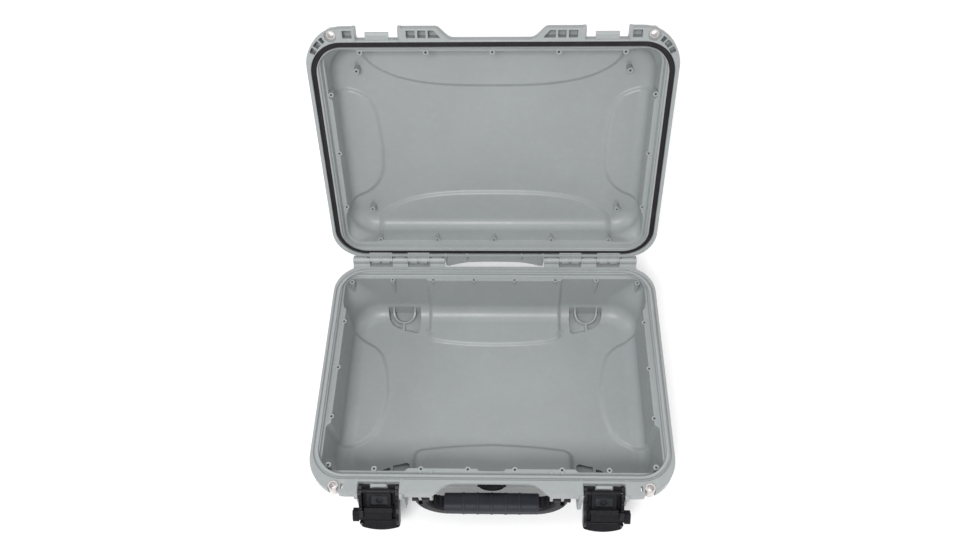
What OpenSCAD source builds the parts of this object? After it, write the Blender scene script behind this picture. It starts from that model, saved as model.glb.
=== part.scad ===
// Hard-shell transport case with a hinged lid, two draw latches with slide
// locks, a folding carry handle, a lid gasket and a pressure valve.
// X runs along the front edge, +Y to the hinge side, +Z up. The origin lies on
// the underside at the middle of the cavity. The lid is drawn open.

/* [Case] */
// Overall width across the rims
case_w = 465; // [460:1:470]
// Height of the base from the floor to the parting plane
base_h = 96; // [94:1:100]
// Distance from the cavity centre to the back face of the rims
rim_back = 165; // [164:0.5:166]
// Distance from the cavity centre to the rim face behind latches and handle
rim_front = 163.5; // [162:0.5:164.5]
// Distance from the cavity centre to the front of the skirts
skirt_front = 178; // [177:0.5:179]
// Shell wall thickness
wall = 3.2; // [2.8:0.1:3.6]

/* [Cavity] */
// Width of the base cavity at the ledge
cav_w = 424; // [420:1:426]
// Depth of the base cavity at the ledge, front to back
cav_d = 288; // [284:1:290]
// Radius of the cavity's vertical corners
cav_r = 26; // [25:1:30]
// Radius between walls and floor
floor_r = 22; // [18:1:22]
// How far each wall leans in from ledge to floor
lean = 3; // [2:0.5:4]
// Depth of the ledge below the parting plane
ledge_drop = 5; // [4:0.5:6]
// Radius of the screw holes in the ledges
screw_r = 1.6; // [1.4:0.1:1.8]

/* [Lid] */
// Height of the lid above the parting plane
lid_h = 55; // [52:1:60]
// Opening angle of the lid as drawn
lid_open = 108; // [95:1:110]
// Width of the gasket groove
groove_w = 7; // [6.6:0.1:7.4]

/* [Hinge] */
// Distance of the hinge axis from the cavity centre
hinge_y = 173.4; // [173:0.1:174]
// Height of the hinge axis above the parting plane
hinge_up = 4.85; // [4.5:0.05:5]
// Radius of the hinge knuckles
knuckle_r = 6.2; // [5.8:0.1:6.4]
// Radius of the hinge pins
hinge_pin_r = 2; // [1.8:0.1:2.2]

/* [Latches] */
// Distance of each latch centre from the middle of the case
latch_x = 140.75; // [140:0.25:141.5]
// Width of the latch levers
latch_w = 50.4; // [49.6:0.2:50.8]
// Opening angle of the levers as drawn, from closed
latch_open = 141; // [138:1:141]
// Eccentricity of the claw pivot below the lever pivot
claw_e = 5; // [4.8:0.1:5.2]

/* [Handle] */
// Distance from the handle pivots to the centre of the grip bar
handle_drop = 31; // [30:1:32]
// Length of the soft grip
grip_w = 124; // [116:2:128]
// Angle of the handle as drawn, outward from the stowed position
handle_out = 0; // [0:1:90]

/* [Valve] */
// Radius of the pressure valve cap
valve_r = 16; // [15:0.5:17]

/* [Hidden] */

$fn = 64;
eps = 0.01;
run = 0.05;                       // radial running clearance of every pin

hw = case_w / 2;
zp = base_h;                      // parting plane
zl = zp + 0.3;                    // underside of the lid when closed
ledge_z = zp - ledge_drop;
floor_t = 3.5;
rim_t = 8;                        // thickness of the base rim plate
lip_h = 16;                       // depth of the rim lip
lid_rim = 12.5;                   // height of the lid rim
lid_ledge = zp + lid_rim;
hinge_z = zp + hinge_up;
front_r = 50;
back_r = 42;

seal_x = 224;                     // centre line of the gasket, half sizes
seal_y = 157.4;
seal_r = 38;

// screw positions on the base ledge
base_rows_x = [-149, -89.4, -29.8, 29.8, 89.4, 149];
base_row_y = 144.5;
base_side_y = [-73, 0, 73];
base_side_x = 212.2;
base_corner = [208.1, 140];
// screw positions on the lid ledge
lid_rows_x = [-166, -83, 0, 83, 166];
lid_row_y = 143;
lid_side_y = [-86, 0, 86];
lid_side_x = 209;
lid_boss = [177.8, 106.8];

foot_x = 139;
foot_y = 106;

padlock = [197.3, -169.3];
padlock_r = 4;

// latch frame
p0y = -176.5;
p0z = zp - 10;
fin_in = 26;                      // inner face of a guard fin from the latch centre
fin_t = 4.5;
lever_wall = 3.9;
lw = latch_w / 2;
lpin_r = 2;
cpin_r = 1.5;

// handle pivot
hpy = -170;
hpz = zp - 28;
hpin_r = 2.5;
h_bar = hpz - handle_drop;

valve_z = 54;

silver = [0.62, 0.65, 0.66];
dark = [0.13, 0.13, 0.14];

module rrect(w, d, r) {
  square([w - 2 * r, d], center = true);
  square([w, d - 2 * r], center = true);
  for (sx = [-1, 1], sy = [-1, 1])
    translate([sx * (w / 2 - r), sy * (d / 2 - r)]) circle(r);
}

module ring2(w, d, r, t) {
  difference() {
    rrect(w, d, r);
    rrect(w - 2 * t, d - 2 * t, r - t);
  }
}

// plan outline of both rims with the front skirts, latch bays and handle bay
module rim_plan(inset = 0) {
  f = skirt_front - inset;
  b = rim_back - inset;
  w = hw - inset;
  fr = front_r - inset;
  br = back_r - inset;
  bay = rim_front - inset;
  difference() {
    union() {
      translate([-(w - fr), -f]) square([2 * (w - fr), f]);
      translate([-(w - br), 0]) square([2 * (w - br), b]);
      translate([-w, -(f - fr)]) square([2 * w, f - fr + b - br]);
      for (s = [-1, 1]) {
        translate([s * (w - fr), -(f - fr)]) circle(fr);
        translate([s * (w - br), b - br]) circle(br);
      }
    }
    for (s = [-1, 1])
      translate([s * latch_x - fin_in - inset, -f - 10]) square([2 * (fin_in + inset), f + 10 - bay]);
    polygon([[-71 - inset, -f - 5], [-71 - inset, -f], [-58 - inset, -bay - 3], [-48 - inset, -bay],
             [48 + inset, -bay], [58 + inset, -bay - 3], [71 + inset, -f], [71 + inset, -f - 5]]);
  }
}

// half profile of a dished wall: s from the corner centre, z upwards
module dish_profile(r, z0, z1, f, lean) {
  a = atan(lean / (z1 - z0));
  sl = r - lean * (z1 - z0 - f) / (z1 - z0);
  sc = sl - f / cos(a);
  union() {
    polygon([[0, z0], [sc, z0], [sc, z0 + f], [sc + f * cos(a), z0 + f - f * sin(a)], [r, z1], [0, z1]]);
    intersection() {
      translate([sc, z0 + f]) circle(f);
      translate([0, z0]) square([r + 1, 2 * f]);
    }
  }
}

// solid dish with leaning walls and a rounded bottom, open side at z1
module dish(w, d, r, z0, z1, f, lean) {
  cx = w / 2 - r;
  cy = d / 2 - r;
  for (s = [0, 1]) {
    rotate([0, 0, 180 * s]) translate([0, cy, 0]) rotate([90, 0, 0])
      linear_extrude(2 * cy) translate([cx, 0]) dish_profile(r, z0, z1, f, lean);
    rotate([0, 0, 90 + 180 * s]) translate([0, cx, 0]) rotate([90, 0, 0])
      linear_extrude(2 * cx) translate([cy, 0]) dish_profile(r, z0, z1, f, lean);
  }
  translate([-cx, -cy, z0]) cube([2 * cx, 2 * cy, z1 - z0]);
  for (sx = [-1, 1], sy = [-1, 1])
    translate([sx * cx, sy * cy, 0]) rotate_extrude() dish_profile(r, z0, z1, f, lean);
}

// four shallow floor panels: arcs at front and back, D shapes at the sides
module panels(t, z, grow = 0) {
  for (s = [-1, 1]) translate([0, 0, z]) linear_extrude(t) {
    intersection() {
      translate([0, s * 290]) circle(206 + grow, $fn = 128);
      translate([-98 - grow, s > 0 ? 70 : -118]) square([196 + 2 * grow, 48]);
    }
    intersection() {
      translate([s * 286, 0]) circle(128 + grow, $fn = 128);
      translate([s > 0 ? 150 : -184, -78 - grow]) square([34, 156 + 2 * grow]);
    }
  }
}

// plan of one foot pocket, open towards the wall at +Y
module foot_plan(grow) {
  translate([0, 0]) circle(15 + grow);
  translate([-15 - grow, 0]) square([30 + 2 * grow, 40]);
}

module foot_at(sx, sy) {
  translate([sx * foot_x, sy * foot_y, 0]) rotate([0, 0, sy > 0 ? 0 : 180]) children();
}

module ledge_holes() {
  for (x = base_rows_x, s = [-1, 1])
    translate([x, s * base_row_y, ledge_z - 12]) cylinder(r = screw_r, h = 20);
  for (y = base_side_y, s = [-1, 1])
    translate([s * base_side_x, y, ledge_z - 12]) cylinder(r = screw_r, h = 20);
  for (sx = [-1, 1], sy = [-1, 1])
    translate([sx * base_corner[0], sy * base_corner[1], ledge_z - 12]) cylinder(r = screw_r, h = 20);
}

module ledge_bosses() {
  for (x = base_rows_x, s = [-1, 1])
    translate([x, s * base_row_y, ledge_z - 34]) cylinder(r = 3.6, h = 35);
  for (y = base_side_y, s = [-1, 1])
    translate([s * base_side_x, y, ledge_z - 34]) cylinder(r = 3.6, h = 35);
}

module corner_bosses() {
  for (sx = [-1, 1], sy = [-1, 1])
    translate([sx * base_corner[0], sy * base_corner[1], ledge_z - 16]) cylinder(r = 5, h = 15);
}

// one guard fin beside a latch, standing in the YZ plane, thickness along +X
module fin(bottom) {
  rotate([90, 0, 90]) linear_extrude(fin_t)
    difference() {
      union() {
        polygon([[-140, bottom - 6], [-skirt_front + 6, bottom], [-skirt_front, bottom + 6],
                 [-skirt_front, zp], [-140, zp]]);
        translate([p0y, p0z]) circle(6);
      }
      translate([p0y, p0z]) circle(lpin_r + run);
    }
}

module fins() {
  for (s = [-1, 1]) translate([s * latch_x, 0, 0]) {
    translate([fin_in, 0, 0]) fin(s > 0 ? 46 : 30);
    translate([-fin_in - fin_t, 0, 0]) fin(s > 0 ? 30 : 46);
  }
}

// handle lugs under the skirt
module handle_lugs() {
  for (s = [-1, 1], x = [76, 90])
    translate([s * x - 2, 0, 0]) rotate([90, 0, 90]) linear_extrude(4) difference() {
      union() {
        translate([hpy, hpz]) circle(7);
        polygon([[hpy - 7, hpz], [hpy + 7, hpz], [-146, zp - 20], [-146, zp - 4], [hpy - 7, zp - 4]]);
      }
      translate([hpy, hpz]) circle(hpin_r + run);
    }
}

module knuckle(x0, x1, up) {
  // up = 1 for the lid side, -1 for the base side
  translate([x0, 0, 0]) rotate([90, 0, 90]) linear_extrude(x1 - x0) {
    translate([hinge_y, hinge_z]) circle(knuckle_r);
    if (up < 0)
      polygon([[rim_back - 6, zp - rim_t], [rim_back - 6, zp], [rim_back, zp], [hinge_y - 5.9, zp + 3], [hinge_y, hinge_z],
               [hinge_y + 5.5, hinge_z - 2.6], [rim_back - 0.5, zp - rim_t]]);
    else
      polygon([[rim_back - 6, zp + 3], [rim_back - 6, zp + 11], [rim_back - 0.5, zp + 11],
               [hinge_y + 4.4, hinge_z + 4.2], [hinge_y, hinge_z], [hinge_y - 4, hinge_z - 4.4], [rim_back - 1, zp + 1.4]]);
  }
}

module hinge_bores() {
  for (s = [-1, 1]) translate([s > 0 ? 72 : -208.4, hinge_y, hinge_z]) rotate([0, 90, 0])
    cylinder(r = hinge_pin_r + run, h = 136.4);
}

module base_shell() color(silver) {
  ow = cav_w + 2 * wall;
  od = cav_d + 2 * wall;
  difference() {
    union() {
      dish(ow, od, cav_r + wall, 0, zp - 2, floor_r + wall - 1, lean);
      // rim plate, lip and skirt
      translate([0, 0, zp - rim_t]) linear_extrude(rim_t) rim_plan();
      translate([0, 0, zp - lip_h]) linear_extrude(lip_h) difference() {
        rim_plan();
        rim_plan(2.6);
        // no lip in the latch bays and the handle bay
        translate([-73, -skirt_front - 5]) square([146, 40]);
        for (s = [-1, 1]) translate([s * latch_x - fin_in, -skirt_front - 5]) square([2 * fin_in, 40]);
      }
      // tongue that presses into the gasket
      translate([0, 0, zp - 1]) linear_extrude(3.7) difference() {
        rrect(2 * seal_x + 3, 2 * seal_y + 3, seal_r + 1.5);
        rrect(2 * seal_x - 3, 2 * seal_y - 3, seal_r - 1.5);
      }
      fins();
      handle_lugs();
      corner_bosses();
      // stop lugs behind the latch levers
      for (s = [-1, 1]) translate([s * latch_x - 10.4, -167, zp - 8]) cube([20.8, 10, 5]);
      // valve seat on the front wall
      translate([0, -141, valve_z]) rotate([90, 0, 0]) cylinder(r = 19, h = 8.2);
      // padlock tabs
      for (s = [-1, 1]) translate([s * padlock[0], padlock[1], zp - 14]) cylinder(r = 8.5, h = 14);
      // hinge knuckles
      for (s = [0, 1]) mirror([s, 0, 0]) {
        knuckle(183.3, 208, -1);
        knuckle(127.3, 149.7, -1);
        knuckle(73, 94.7, -1);
      }
      // feet in the rounded edge
      for (sx = [-1, 1], sy = [-1, 1]) foot_at(sx, sy)
        linear_extrude(26) intersection() {
          foot_plan(6.5);
          translate([-30, -30]) square([60, 30 + 144.5 - foot_y + 0.5]);
        }
    }
    difference() {
      dish(cav_w, cav_d, cav_r, floor_t, ledge_z + eps, floor_r, lean);
      panels(3.5, floor_t - 1);
      ledge_bosses();
      // foot walls and ribs stay inside the pockets
      for (sx = [-1, 1], sy = [-1, 1]) foot_at(sx, sy) {
        linear_extrude(24) difference() {
          foot_plan(-4);
          foot_plan(-6);
        }
        translate([-1, -15, 0]) cube([2, 5, 20]);
      }
    }
    // opening above the ledge
    translate([0, 0, ledge_z]) linear_extrude(ledge_drop + 1) rrect(cav_w + 10, cav_d + 14, cav_r + 2);
    // foot pockets
    for (sx = [-1, 1], sy = [-1, 1]) foot_at(sx, sy) translate([0, 0, 3])
      linear_extrude(22) difference() {
        intersection() {
          foot_plan(3.5);
          translate([-30, -30]) square([60, 30 + 141 - foot_y]);
        }
        difference() {
          foot_plan(-4);
          foot_plan(-6);
        }
        translate([-1, -15]) square([2, 5]);
      }
    // recesses under the floor panels
    translate([0, 0, 0]) panels(2.2, -eps, -1);
    ledge_holes();
    hinge_bores();
    // bores of the latch pivot pins through fins and skirts
    for (s = [-1, 1]) translate([s * latch_x - fin_in - fin_t, p0y, p0z]) rotate([0, 90, 0])
      cylinder(r = lpin_r + run, h = 2 * (fin_in + fin_t));
    // clearance for the lid knuckles
    for (s = [0, 1]) mirror([s, 0, 0]) for (x = [[94.7, 127.3], [149.7, 183.3]])
      translate([x[0], hinge_y, hinge_z]) rotate([0, 90, 0]) cylinder(r = knuckle_r + 0.5, h = x[1] - x[0]);
    // padlock bores
    for (s = [-1, 1]) translate([s * padlock[0], padlock[1], zp - 20]) cylinder(r = padlock_r + 1.8 + run, h = 30);
    // lanyard slots beside the padlock tabs
    for (s = [-1, 1]) translate([s * 186.8 - 1, -172, zp - 20]) cube([2, 5, 30]);
    // valve bore
    translate([0, -130, valve_z]) rotate([90, 0, 0]) cylinder(r = 8.2, h = 30);
  }
}

module base_padlock_sleeves() color("gainsboro")
  for (s = [-1, 1]) translate([s * padlock[0], padlock[1], 0]) difference() {
    union() {
      translate([0, 0, zp - 14]) cylinder(r = padlock_r + 1.8, h = 16);
      translate([0, 0, zp + 0.05]) cylinder(r = 6.9, h = 2);
    }
    translate([0, 0, zp - 15]) cylinder(r = padlock_r, h = 20);
  }

module hinge_pins() color("silver")
  for (s = [-1, 1]) translate([s > 0 ? 73.2 : -207.8, hinge_y, hinge_z]) rotate([0, 90, 0])
    cylinder(r = hinge_pin_r, h = 134.6);

module latch_pivot_pins() color("silver")
  for (s = [-1, 1], t = [-1, 1])
    translate([s * latch_x + (t > 0 ? 21.5 : -fin_in - fin_t + 0.2), p0y, p0z]) rotate([0, 90, 0])
      cylinder(r = lpin_r, h = fin_in + fin_t - 21.7);

module handle_pivot_pins() color("silver")
  for (s = [-1, 1]) translate([s > 0 ? 74.2 : -100.2, hpy, hpz]) rotate([0, 90, 0])
    cylinder(r = hpin_r, h = 26);

// ---- valve, on the front wall, axis along Y ----
module on_valve() translate([0, -149.2, valve_z]) rotate([90, 0, 0]) children();

module valve_body() color(dark) on_valve() difference() {
  union() {
    translate([0, 0, 0.1]) cylinder(r = 14.4, h = 1.6);
    translate([0, 0, -16]) cylinder(r = 8, h = 17);
  }
  translate([0, 0, -17]) cylinder(r = 5, h = 15);
  for (a = [0 : 60 : 300]) rotate([0, 0, a]) translate([3, 0, -3]) cylinder(r = 0.9, h = 5);
  translate([0, 0, 0.1]) difference() {
    cylinder(r = 13.4, h = 0.8);
    translate([0, 0, -0.1]) cylinder(r = 11, h = 1);
  }
}

module valve_membrane() color("white") on_valve()
  translate([0, 0, 1.75]) cylinder(r = 6, h = 0.3);

module valve_cap() color(dark) on_valve() translate([0, 0, 1.75]) difference() {
  union() {
    cylinder(r = valve_r, h = 2.8);
    for (s = [-1, 1]) translate([s * valve_r, 0, 0]) cylinder(r = 2.6, h = 2.8);
  }
  translate([0, 0, -1]) cylinder(r = 12.5, h = 2.2);
  for (a = [45 : 90 : 315]) rotate([0, 0, a]) translate([10, -1.5, -1]) cube([8, 3, 1.8]);
}

module valve_o_ring() color("black") on_valve()
  translate([0, 0, 0.48]) rotate_extrude() translate([12.2, 0]) circle(r = 0.36, $fn = 24);

module valve_nut() color(dark) on_valve() translate([0, 0, -12.2]) difference() {
  cylinder(r = 13, h = 5, $fn = 6);
  translate([0, 0, -1]) cylinder(r = 8 + run, h = 8);
}

// ---- lid, drawn closed and then turned about the hinge ----
module lid_place() translate([0, hinge_y, hinge_z]) rotate([-lid_open, 0, 0])
  translate([0, -hinge_y, -hinge_z]) children();

module lid_dish(w, d, r, h0, h1, f) translate([0, 0, h0 + h1]) mirror([0, 0, 1])
  dish(w, d, r, h0, h1, f, lean);

module skirt_cells() {
  for (s = [0, 1]) mirror([s, 0, 0]) {
    for (x = [[169.8, 182.5], [93.5, 104.5], [80.5, 90.5]])
      translate([x[0], -skirt_front + 2.4, zl - 1]) cube([x[1] - x[0], 9.6, 9]);
    translate([0, 0, zl - 1]) linear_extrude(9)
      polygon([[77.8, -skirt_front + 2.4], [70.5, -skirt_front + 2.4], [62.5, -166], [77.8, -166]]);
    // corner cells
    translate([hw - front_r, -(skirt_front - front_r), zl - 1]) for (a = [[-62, -52], [-50, -37], [-35, -24]])
      linear_extrude(9) intersection() {
        difference() {
          circle(front_r - 2.4);
          circle(front_r - 9);
        }
        polygon([[0, 0], [70 * cos(a[0]), 70 * sin(a[0])], [70 * cos(a[1]), 70 * sin(a[1])]]);
      }
  }
}

module lid_shell() color(silver) lid_place() {
  ow = cav_w + 2 * wall - 4;
  od = cav_d + 2 * wall + 2;
  difference() {
    union() {
      lid_dish(ow, od, cav_r + wall, zp + 6, zp + lid_h, floor_r + wall - 4);
      translate([0, 0, zl]) linear_extrude(lid_rim - 0.3) rim_plan();
      translate([0, 0, zp + 9]) linear_extrude(lid_rim - 6) rrect(438, 308, cav_r + 8);
      // guard fins beside the latches
      for (s = [-1, 1], t = [-1, 1])
        translate([s * latch_x + (t > 0 ? fin_in : -fin_in - fin_t), 0, 0]) rotate([90, 0, 90]) linear_extrude(fin_t)
          polygon([[-150, zl], [-skirt_front, zl], [-skirt_front - 1.5, zp + 4], [-skirt_front - 1.5, zp + 9.6],
                   [-skirt_front + 2, zp + 10.8], [-168, zp + 10.8], [-150, zp + 26]]);
      // catches for the claws
      for (s = [-1, 1]) translate([s * latch_x - 14.5, 0, 0]) rotate([90, 0, 90]) linear_extrude(29)
        polygon([[-162, zp + 1.6], [-170, zp + 1.6], [-172.6, zp + 3.2], [-172.6, zp + 5.4], [-170.6, zp + 5.4],
                 [-170.6, zp + 4.4], [-162, zp + 4.4]]);
      // hinge knuckles
      for (s = [0, 1]) mirror([s, 0, 0]) {
        knuckle(95, 127, 1);
        knuckle(150, 183, 1);
      }
    }
    difference() {
      lid_dish(ow - 2 * wall, od - 2 * wall, cav_r, zp + 6 - eps, zp + lid_h - wall, floor_r - 4);
      // ledge screw bosses
      for (x = lid_rows_x, s = [-1, 1])
        translate([x, s * lid_row_y, lid_ledge - 4]) cylinder(r = 3.6, h = 24);
      for (y = lid_side_y, s = [-1, 1])
        translate([s * lid_side_x, y, lid_ledge - 4]) cylinder(r = 3.6, h = 24);
      // inner corner posts
      for (sx = [-1, 1], sy = [-1, 1])
        translate([sx * lid_boss[0], sy * lid_boss[1], zp + 38.5]) cylinder(r = 4.2, h = 26);
      // shallow panels in the roof
      translate([0, 0, 2 * zp + lid_h - wall + 6]) mirror([0, 0, 1])
        panels(3, zp + 5);
    }
    // opening between parting plane and ledge
    translate([0, 0, zl - 1]) linear_extrude(lid_rim + 0.7) rrect(430, 300, cav_r + 4);
    // gasket groove
    translate([0, 0, zl - 1]) linear_extrude(6.7) difference() {
      rrect(2 * seal_x + groove_w, 2 * seal_y + groove_w, seal_r + groove_w / 2);
      rrect(2 * seal_x - groove_w, 2 * seal_y - groove_w, seal_r - groove_w / 2);
    }
    skirt_cells();
    // screw holes
    for (x = lid_rows_x, s = [-1, 1])
      translate([x, s * lid_row_y, lid_ledge - 2]) cylinder(r = screw_r, h = 12);
    for (y = lid_side_y, s = [-1, 1])
      translate([s * lid_side_x, y, lid_ledge - 2]) cylinder(r = screw_r, h = 12);
    for (sx = [-1, 1], sy = [-1, 1])
      translate([sx * lid_boss[0], sy * lid_boss[1], zp + 36]) cylinder(r = screw_r, h = 15);
    hinge_bores();
    // room for the slide locks above the skirt
    for (s = [-1, 1]) translate([s * latch_x - 36, -185, zp + 10.9]) cube([72, 17.2, 6]);
    // clearance for the base knuckles
    for (s = [0, 1]) mirror([s, 0, 0]) for (x = [[72, 95], [127, 150], [183, 209]])
      translate([x[0], hinge_y, hinge_z]) rotate([0, 90, 0]) cylinder(r = knuckle_r + 0.5, h = x[1] - x[0]);
    // padlock pockets and bores
    for (s = [-1, 1]) translate([s * padlock[0], padlock[1], 0]) {
      translate([0, 0, zl - 1]) cylinder(r = 7.6, h = 4);
      translate([0, 0, zl]) cylinder(r = padlock_r + 1.8 + run, h = 30);
    }
  }
}

module lid_gasket() color("black") lid_place()
  translate([0, 0, zl + 2.6]) linear_extrude(3) difference() {
    rrect(2 * seal_x + groove_w - 0.4, 2 * seal_y + groove_w - 0.4, seal_r + groove_w / 2 - 0.2);
    rrect(2 * seal_x - groove_w + 0.4, 2 * seal_y - groove_w + 0.4, seal_r - groove_w / 2 + 0.2);
  }

module lid_padlock_sleeves() color("gainsboro") lid_place()
  for (s = [-1, 1]) translate([s * padlock[0], padlock[1], 0]) difference() {
    union() {
      translate([0, 0, zl + 3.05]) cylinder(r = padlock_r + 1.8, h = lid_rim - 2.1);
      translate([0, 0, zp + lid_rim + 0.05]) cylinder(r = 6.9, h = 1.2);
    }
    translate([0, 0, zp]) cylinder(r = padlock_r, h = 30);
  }

// ---- handle ----
module handle_place() translate([0, hpy, hpz]) rotate([handle_out * -1, 0, 0]) translate([0, -hpy, -hpz]) children();

module handle_plan() {
  // outline in the XZ plane
  translate([-58, h_bar - 9]) square([116, 18]);
  for (s = [0, 1]) mirror([s, 0]) intersection() {
    translate([58, hpz]) difference() {
      circle(handle_drop + 9, $fn = 96);
      circle(handle_drop - 9, $fn = 96);
    }
    translate([58, hpz - 60]) square([60, 60]);
  }
}

module handle_core() color(dark) handle_place() difference() {
  union() {
    translate([0, hpy + 8, 0]) rotate([90, 0, 0]) linear_extrude(16) handle_plan();
    for (s = [-1, 1]) translate([s > 0 ? 78.4 : -100.5, hpy, hpz]) rotate([0, 90, 0]) cylinder(r = 8, h = 22.1);
  }
  for (s = [-1, 1]) {
    translate([s > 0 ? 70 : -110, hpy, hpz]) rotate([0, 90, 0]) cylinder(r = hpin_r + run, h = 40);
    translate([s * 90 - 2.4, hpy, hpz]) rotate([0, 90, 0]) cylinder(r = 12, h = 4.8);
    translate([s > 0 ? 66 : -78.4, hpy, hpz]) rotate([0, 90, 0]) cylinder(r = 8, h = 12.4);
  }
  // grip seat
  difference() {
    translate([-grip_w / 2, hpy - 15, h_bar - 15]) cube([grip_w, 30, 27.5]);
    translate([-grip_w / 2 - 1, hpy, h_bar]) rotate([0, 90, 0]) cylinder(r = 8, h = grip_w + 2);
  }
}

module handle_grip() color([0.25, 0.26, 0.31]) handle_place() translate([-grip_w / 2 + 0.2, hpy, h_bar]) rotate([90, 0, 90])
  difference() {
    union() {
      linear_extrude(grip_w - 0.4) rrect(25.4, 23.6, 10);
      for (i = [0 : 8]) translate([0, 0, grip_w / 2 - 42 + i * 10]) linear_extrude(4) rrect(26.4, 24.6, 10.5);
    }
    translate([0, 0, -1]) cylinder(r = 8.1, h = grip_w + 2);
  }

// ---- latches: local frame with t up and n outward when closed ----
module latch_place(s) translate([s * latch_x, p0y, p0z]) rotate([latch_open, 0, 0])
  mirror([s > 0 ? 1 : 0, 0, 0]) children();

// extrude a [t, n] outline between two x positions; local y = -n, z = t
module tn(x0, x1) translate([x0, 0, 0]) rotate([90, 0, 90]) linear_extrude(x1 - x0) mirror([1, 0])
  children();

module lever() difference() {
  union() {
    for (x = [[-lw, -lw + lever_wall], [lw - lever_wall, lw]]) tn(x[0], x[1]) {
      circle(5.2);
      translate([0, -claw_e]) circle(3.4);
      polygon([[-3.4, -claw_e], [3.4, -claw_e], [5.2, 0], [-5.2, 0]]);
      polygon([[-4.6, 0], [5.2, -1], [10, 4], [10, 44], [3, 46], [-3, 40], [-6, 34], [-6, 24], [-3, 18], [-4.6, 8]]);
    }
    // cover
    tn(-lw + 1, lw - 1) polygon([[7, 2], [10, 4.5], [10, 44], [6.5, 44], [6.5, 4]]);
    // rounded pull tab
    intersection() {
      tn(-lw, lw) polygon([[10, 38], [9, 53.5], [3.5, 53.5], [1.5, 42], [1.5, 37.5], [7, 37.5]]);
      translate([0, -20, 0]) rotate([-90, 0, 0]) linear_extrude(40) intersection() {
        translate([-lw, -60]) square([2 * lw, 60]);
        translate([0, 16]) circle(70, $fn = 128);
      }
    }
    // socket plate under the claw window
    tn(-12, 12) polygon([[3.4, 2.5], [7, 2.5], [7, 19], [3.4, 19]]);
  }
  // socket
  translate([0, -1, 10.4]) rotate([90, 0, 0]) cylinder(r = 5.6, h = 6.5);
  // pivot bores
  translate([-40, 0, 0]) rotate([0, 90, 0]) cylinder(r = lpin_r + run, h = 80);
  translate([-40, 0, -claw_e]) rotate([0, 90, 0]) cylinder(r = cpin_r + run, h = 80);
  // slot for the slide lock through the outer wall
  tn(-lw - 1, -lw + lever_wall + 1) translate([-7, 21.2]) square([12.4, 15.1]);
  // detent track
  translate([-4.3, -7.3, 27]) cube([9.6, 2, 3]);
}

module claw() difference() {
  union() {
    tn(-15.4, 15.4) {
      translate([0, -claw_e]) circle(3.5);
      polygon([[-2.4, -claw_e], [1.2, -claw_e], [1.2, 19.6], [-2.4, 19.6]]);
    }
    tn(-21.1, 21.1) translate([0, -claw_e]) circle(2.8);
    // hook bar with its lip
    tn(-17.6, 17.6) polygon([[1.2, 15.9], [1.2, 20.4], [-0.8, 20.9], [-8, 20.9], [-8, 15], [-6.3, 15], [-6.3, 16.1], [-2.4, 16.1]]);
  }
  translate([-11, -3, 1.2]) cube([22, 8, 14.4]);
  translate([-40, 0, -claw_e]) rotate([0, 90, 0]) cylinder(r = cpin_r + run, h = 80);
}

module slide_lock() {
  difference() {
    union() {
      tn(-33.5, 16) polygon([[-4, 21.6], [5, 21.6], [5, 35.9], [-2, 35.9], [-4, 34]]);
      // finger that passes over the end of the hook bar
      tn(-25, -19) polygon([[-9.8, 17.5], [-9.8, 27], [-3.9, 31], [-3.9, 21.9], [-8.3, 21.9], [-8.3, 17.5]]);
      // grip ridges on the thumb tab
      for (i = [0 : 3]) tn(-32.6 + i * 1.9, -31.6 + i * 1.9) polygon([[-4.8, 22.6], [-3, 22.6], [-3, 34], [-4.8, 34]]);
    }
    // pocket for the detent
    translate([-4, -5.2, 27]) cube([4, 3, 3]);
  }
}

module slide_detent() translate([-3.9, -6.95, 27.1]) cube([3.8, 4.6, 2.8]);

module lever_left() color(dark) latch_place(-1) lever();
module lever_right() color(dark) latch_place(1) lever();
module claw_left() color(dark) latch_place(-1) claw();
module claw_right() color(dark) latch_place(1) claw();
module claw_pin_left() color("silver") latch_place(-1)
  translate([-lw + 0.2, 0, -claw_e]) rotate([0, 90, 0]) cylinder(r = cpin_r, h = 2 * lw - 0.4);
module claw_pin_right() color("silver") latch_place(1)
  translate([-lw + 0.2, 0, -claw_e]) rotate([0, 90, 0]) cylinder(r = cpin_r, h = 2 * lw - 0.4);
module slide_lock_left() color([0.16, 0.16, 0.17]) latch_place(-1) slide_lock();
module slide_lock_right() color([0.16, 0.16, 0.17]) latch_place(1) slide_lock();
module slide_detent_left() color("silver") latch_place(-1) slide_detent();
module slide_detent_right() color("silver") latch_place(1) slide_detent();

base_shell();
base_padlock_sleeves();
hinge_pins();
latch_pivot_pins();
handle_pivot_pins();
valve_body();
valve_membrane();
valve_cap();
valve_o_ring();
valve_nut();
lid_shell();
lid_gasket();
lid_padlock_sleeves();
handle_core();
handle_grip();
lever_left();
claw_left();
claw_pin_left();
slide_lock_left();
slide_detent_left();
lever_right();
claw_right();
claw_pin_right();
slide_lock_right();
slide_detent_right();
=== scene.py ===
import bpy, bmesh, math
import numpy as np
from mathutils import Vector, Matrix


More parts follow.
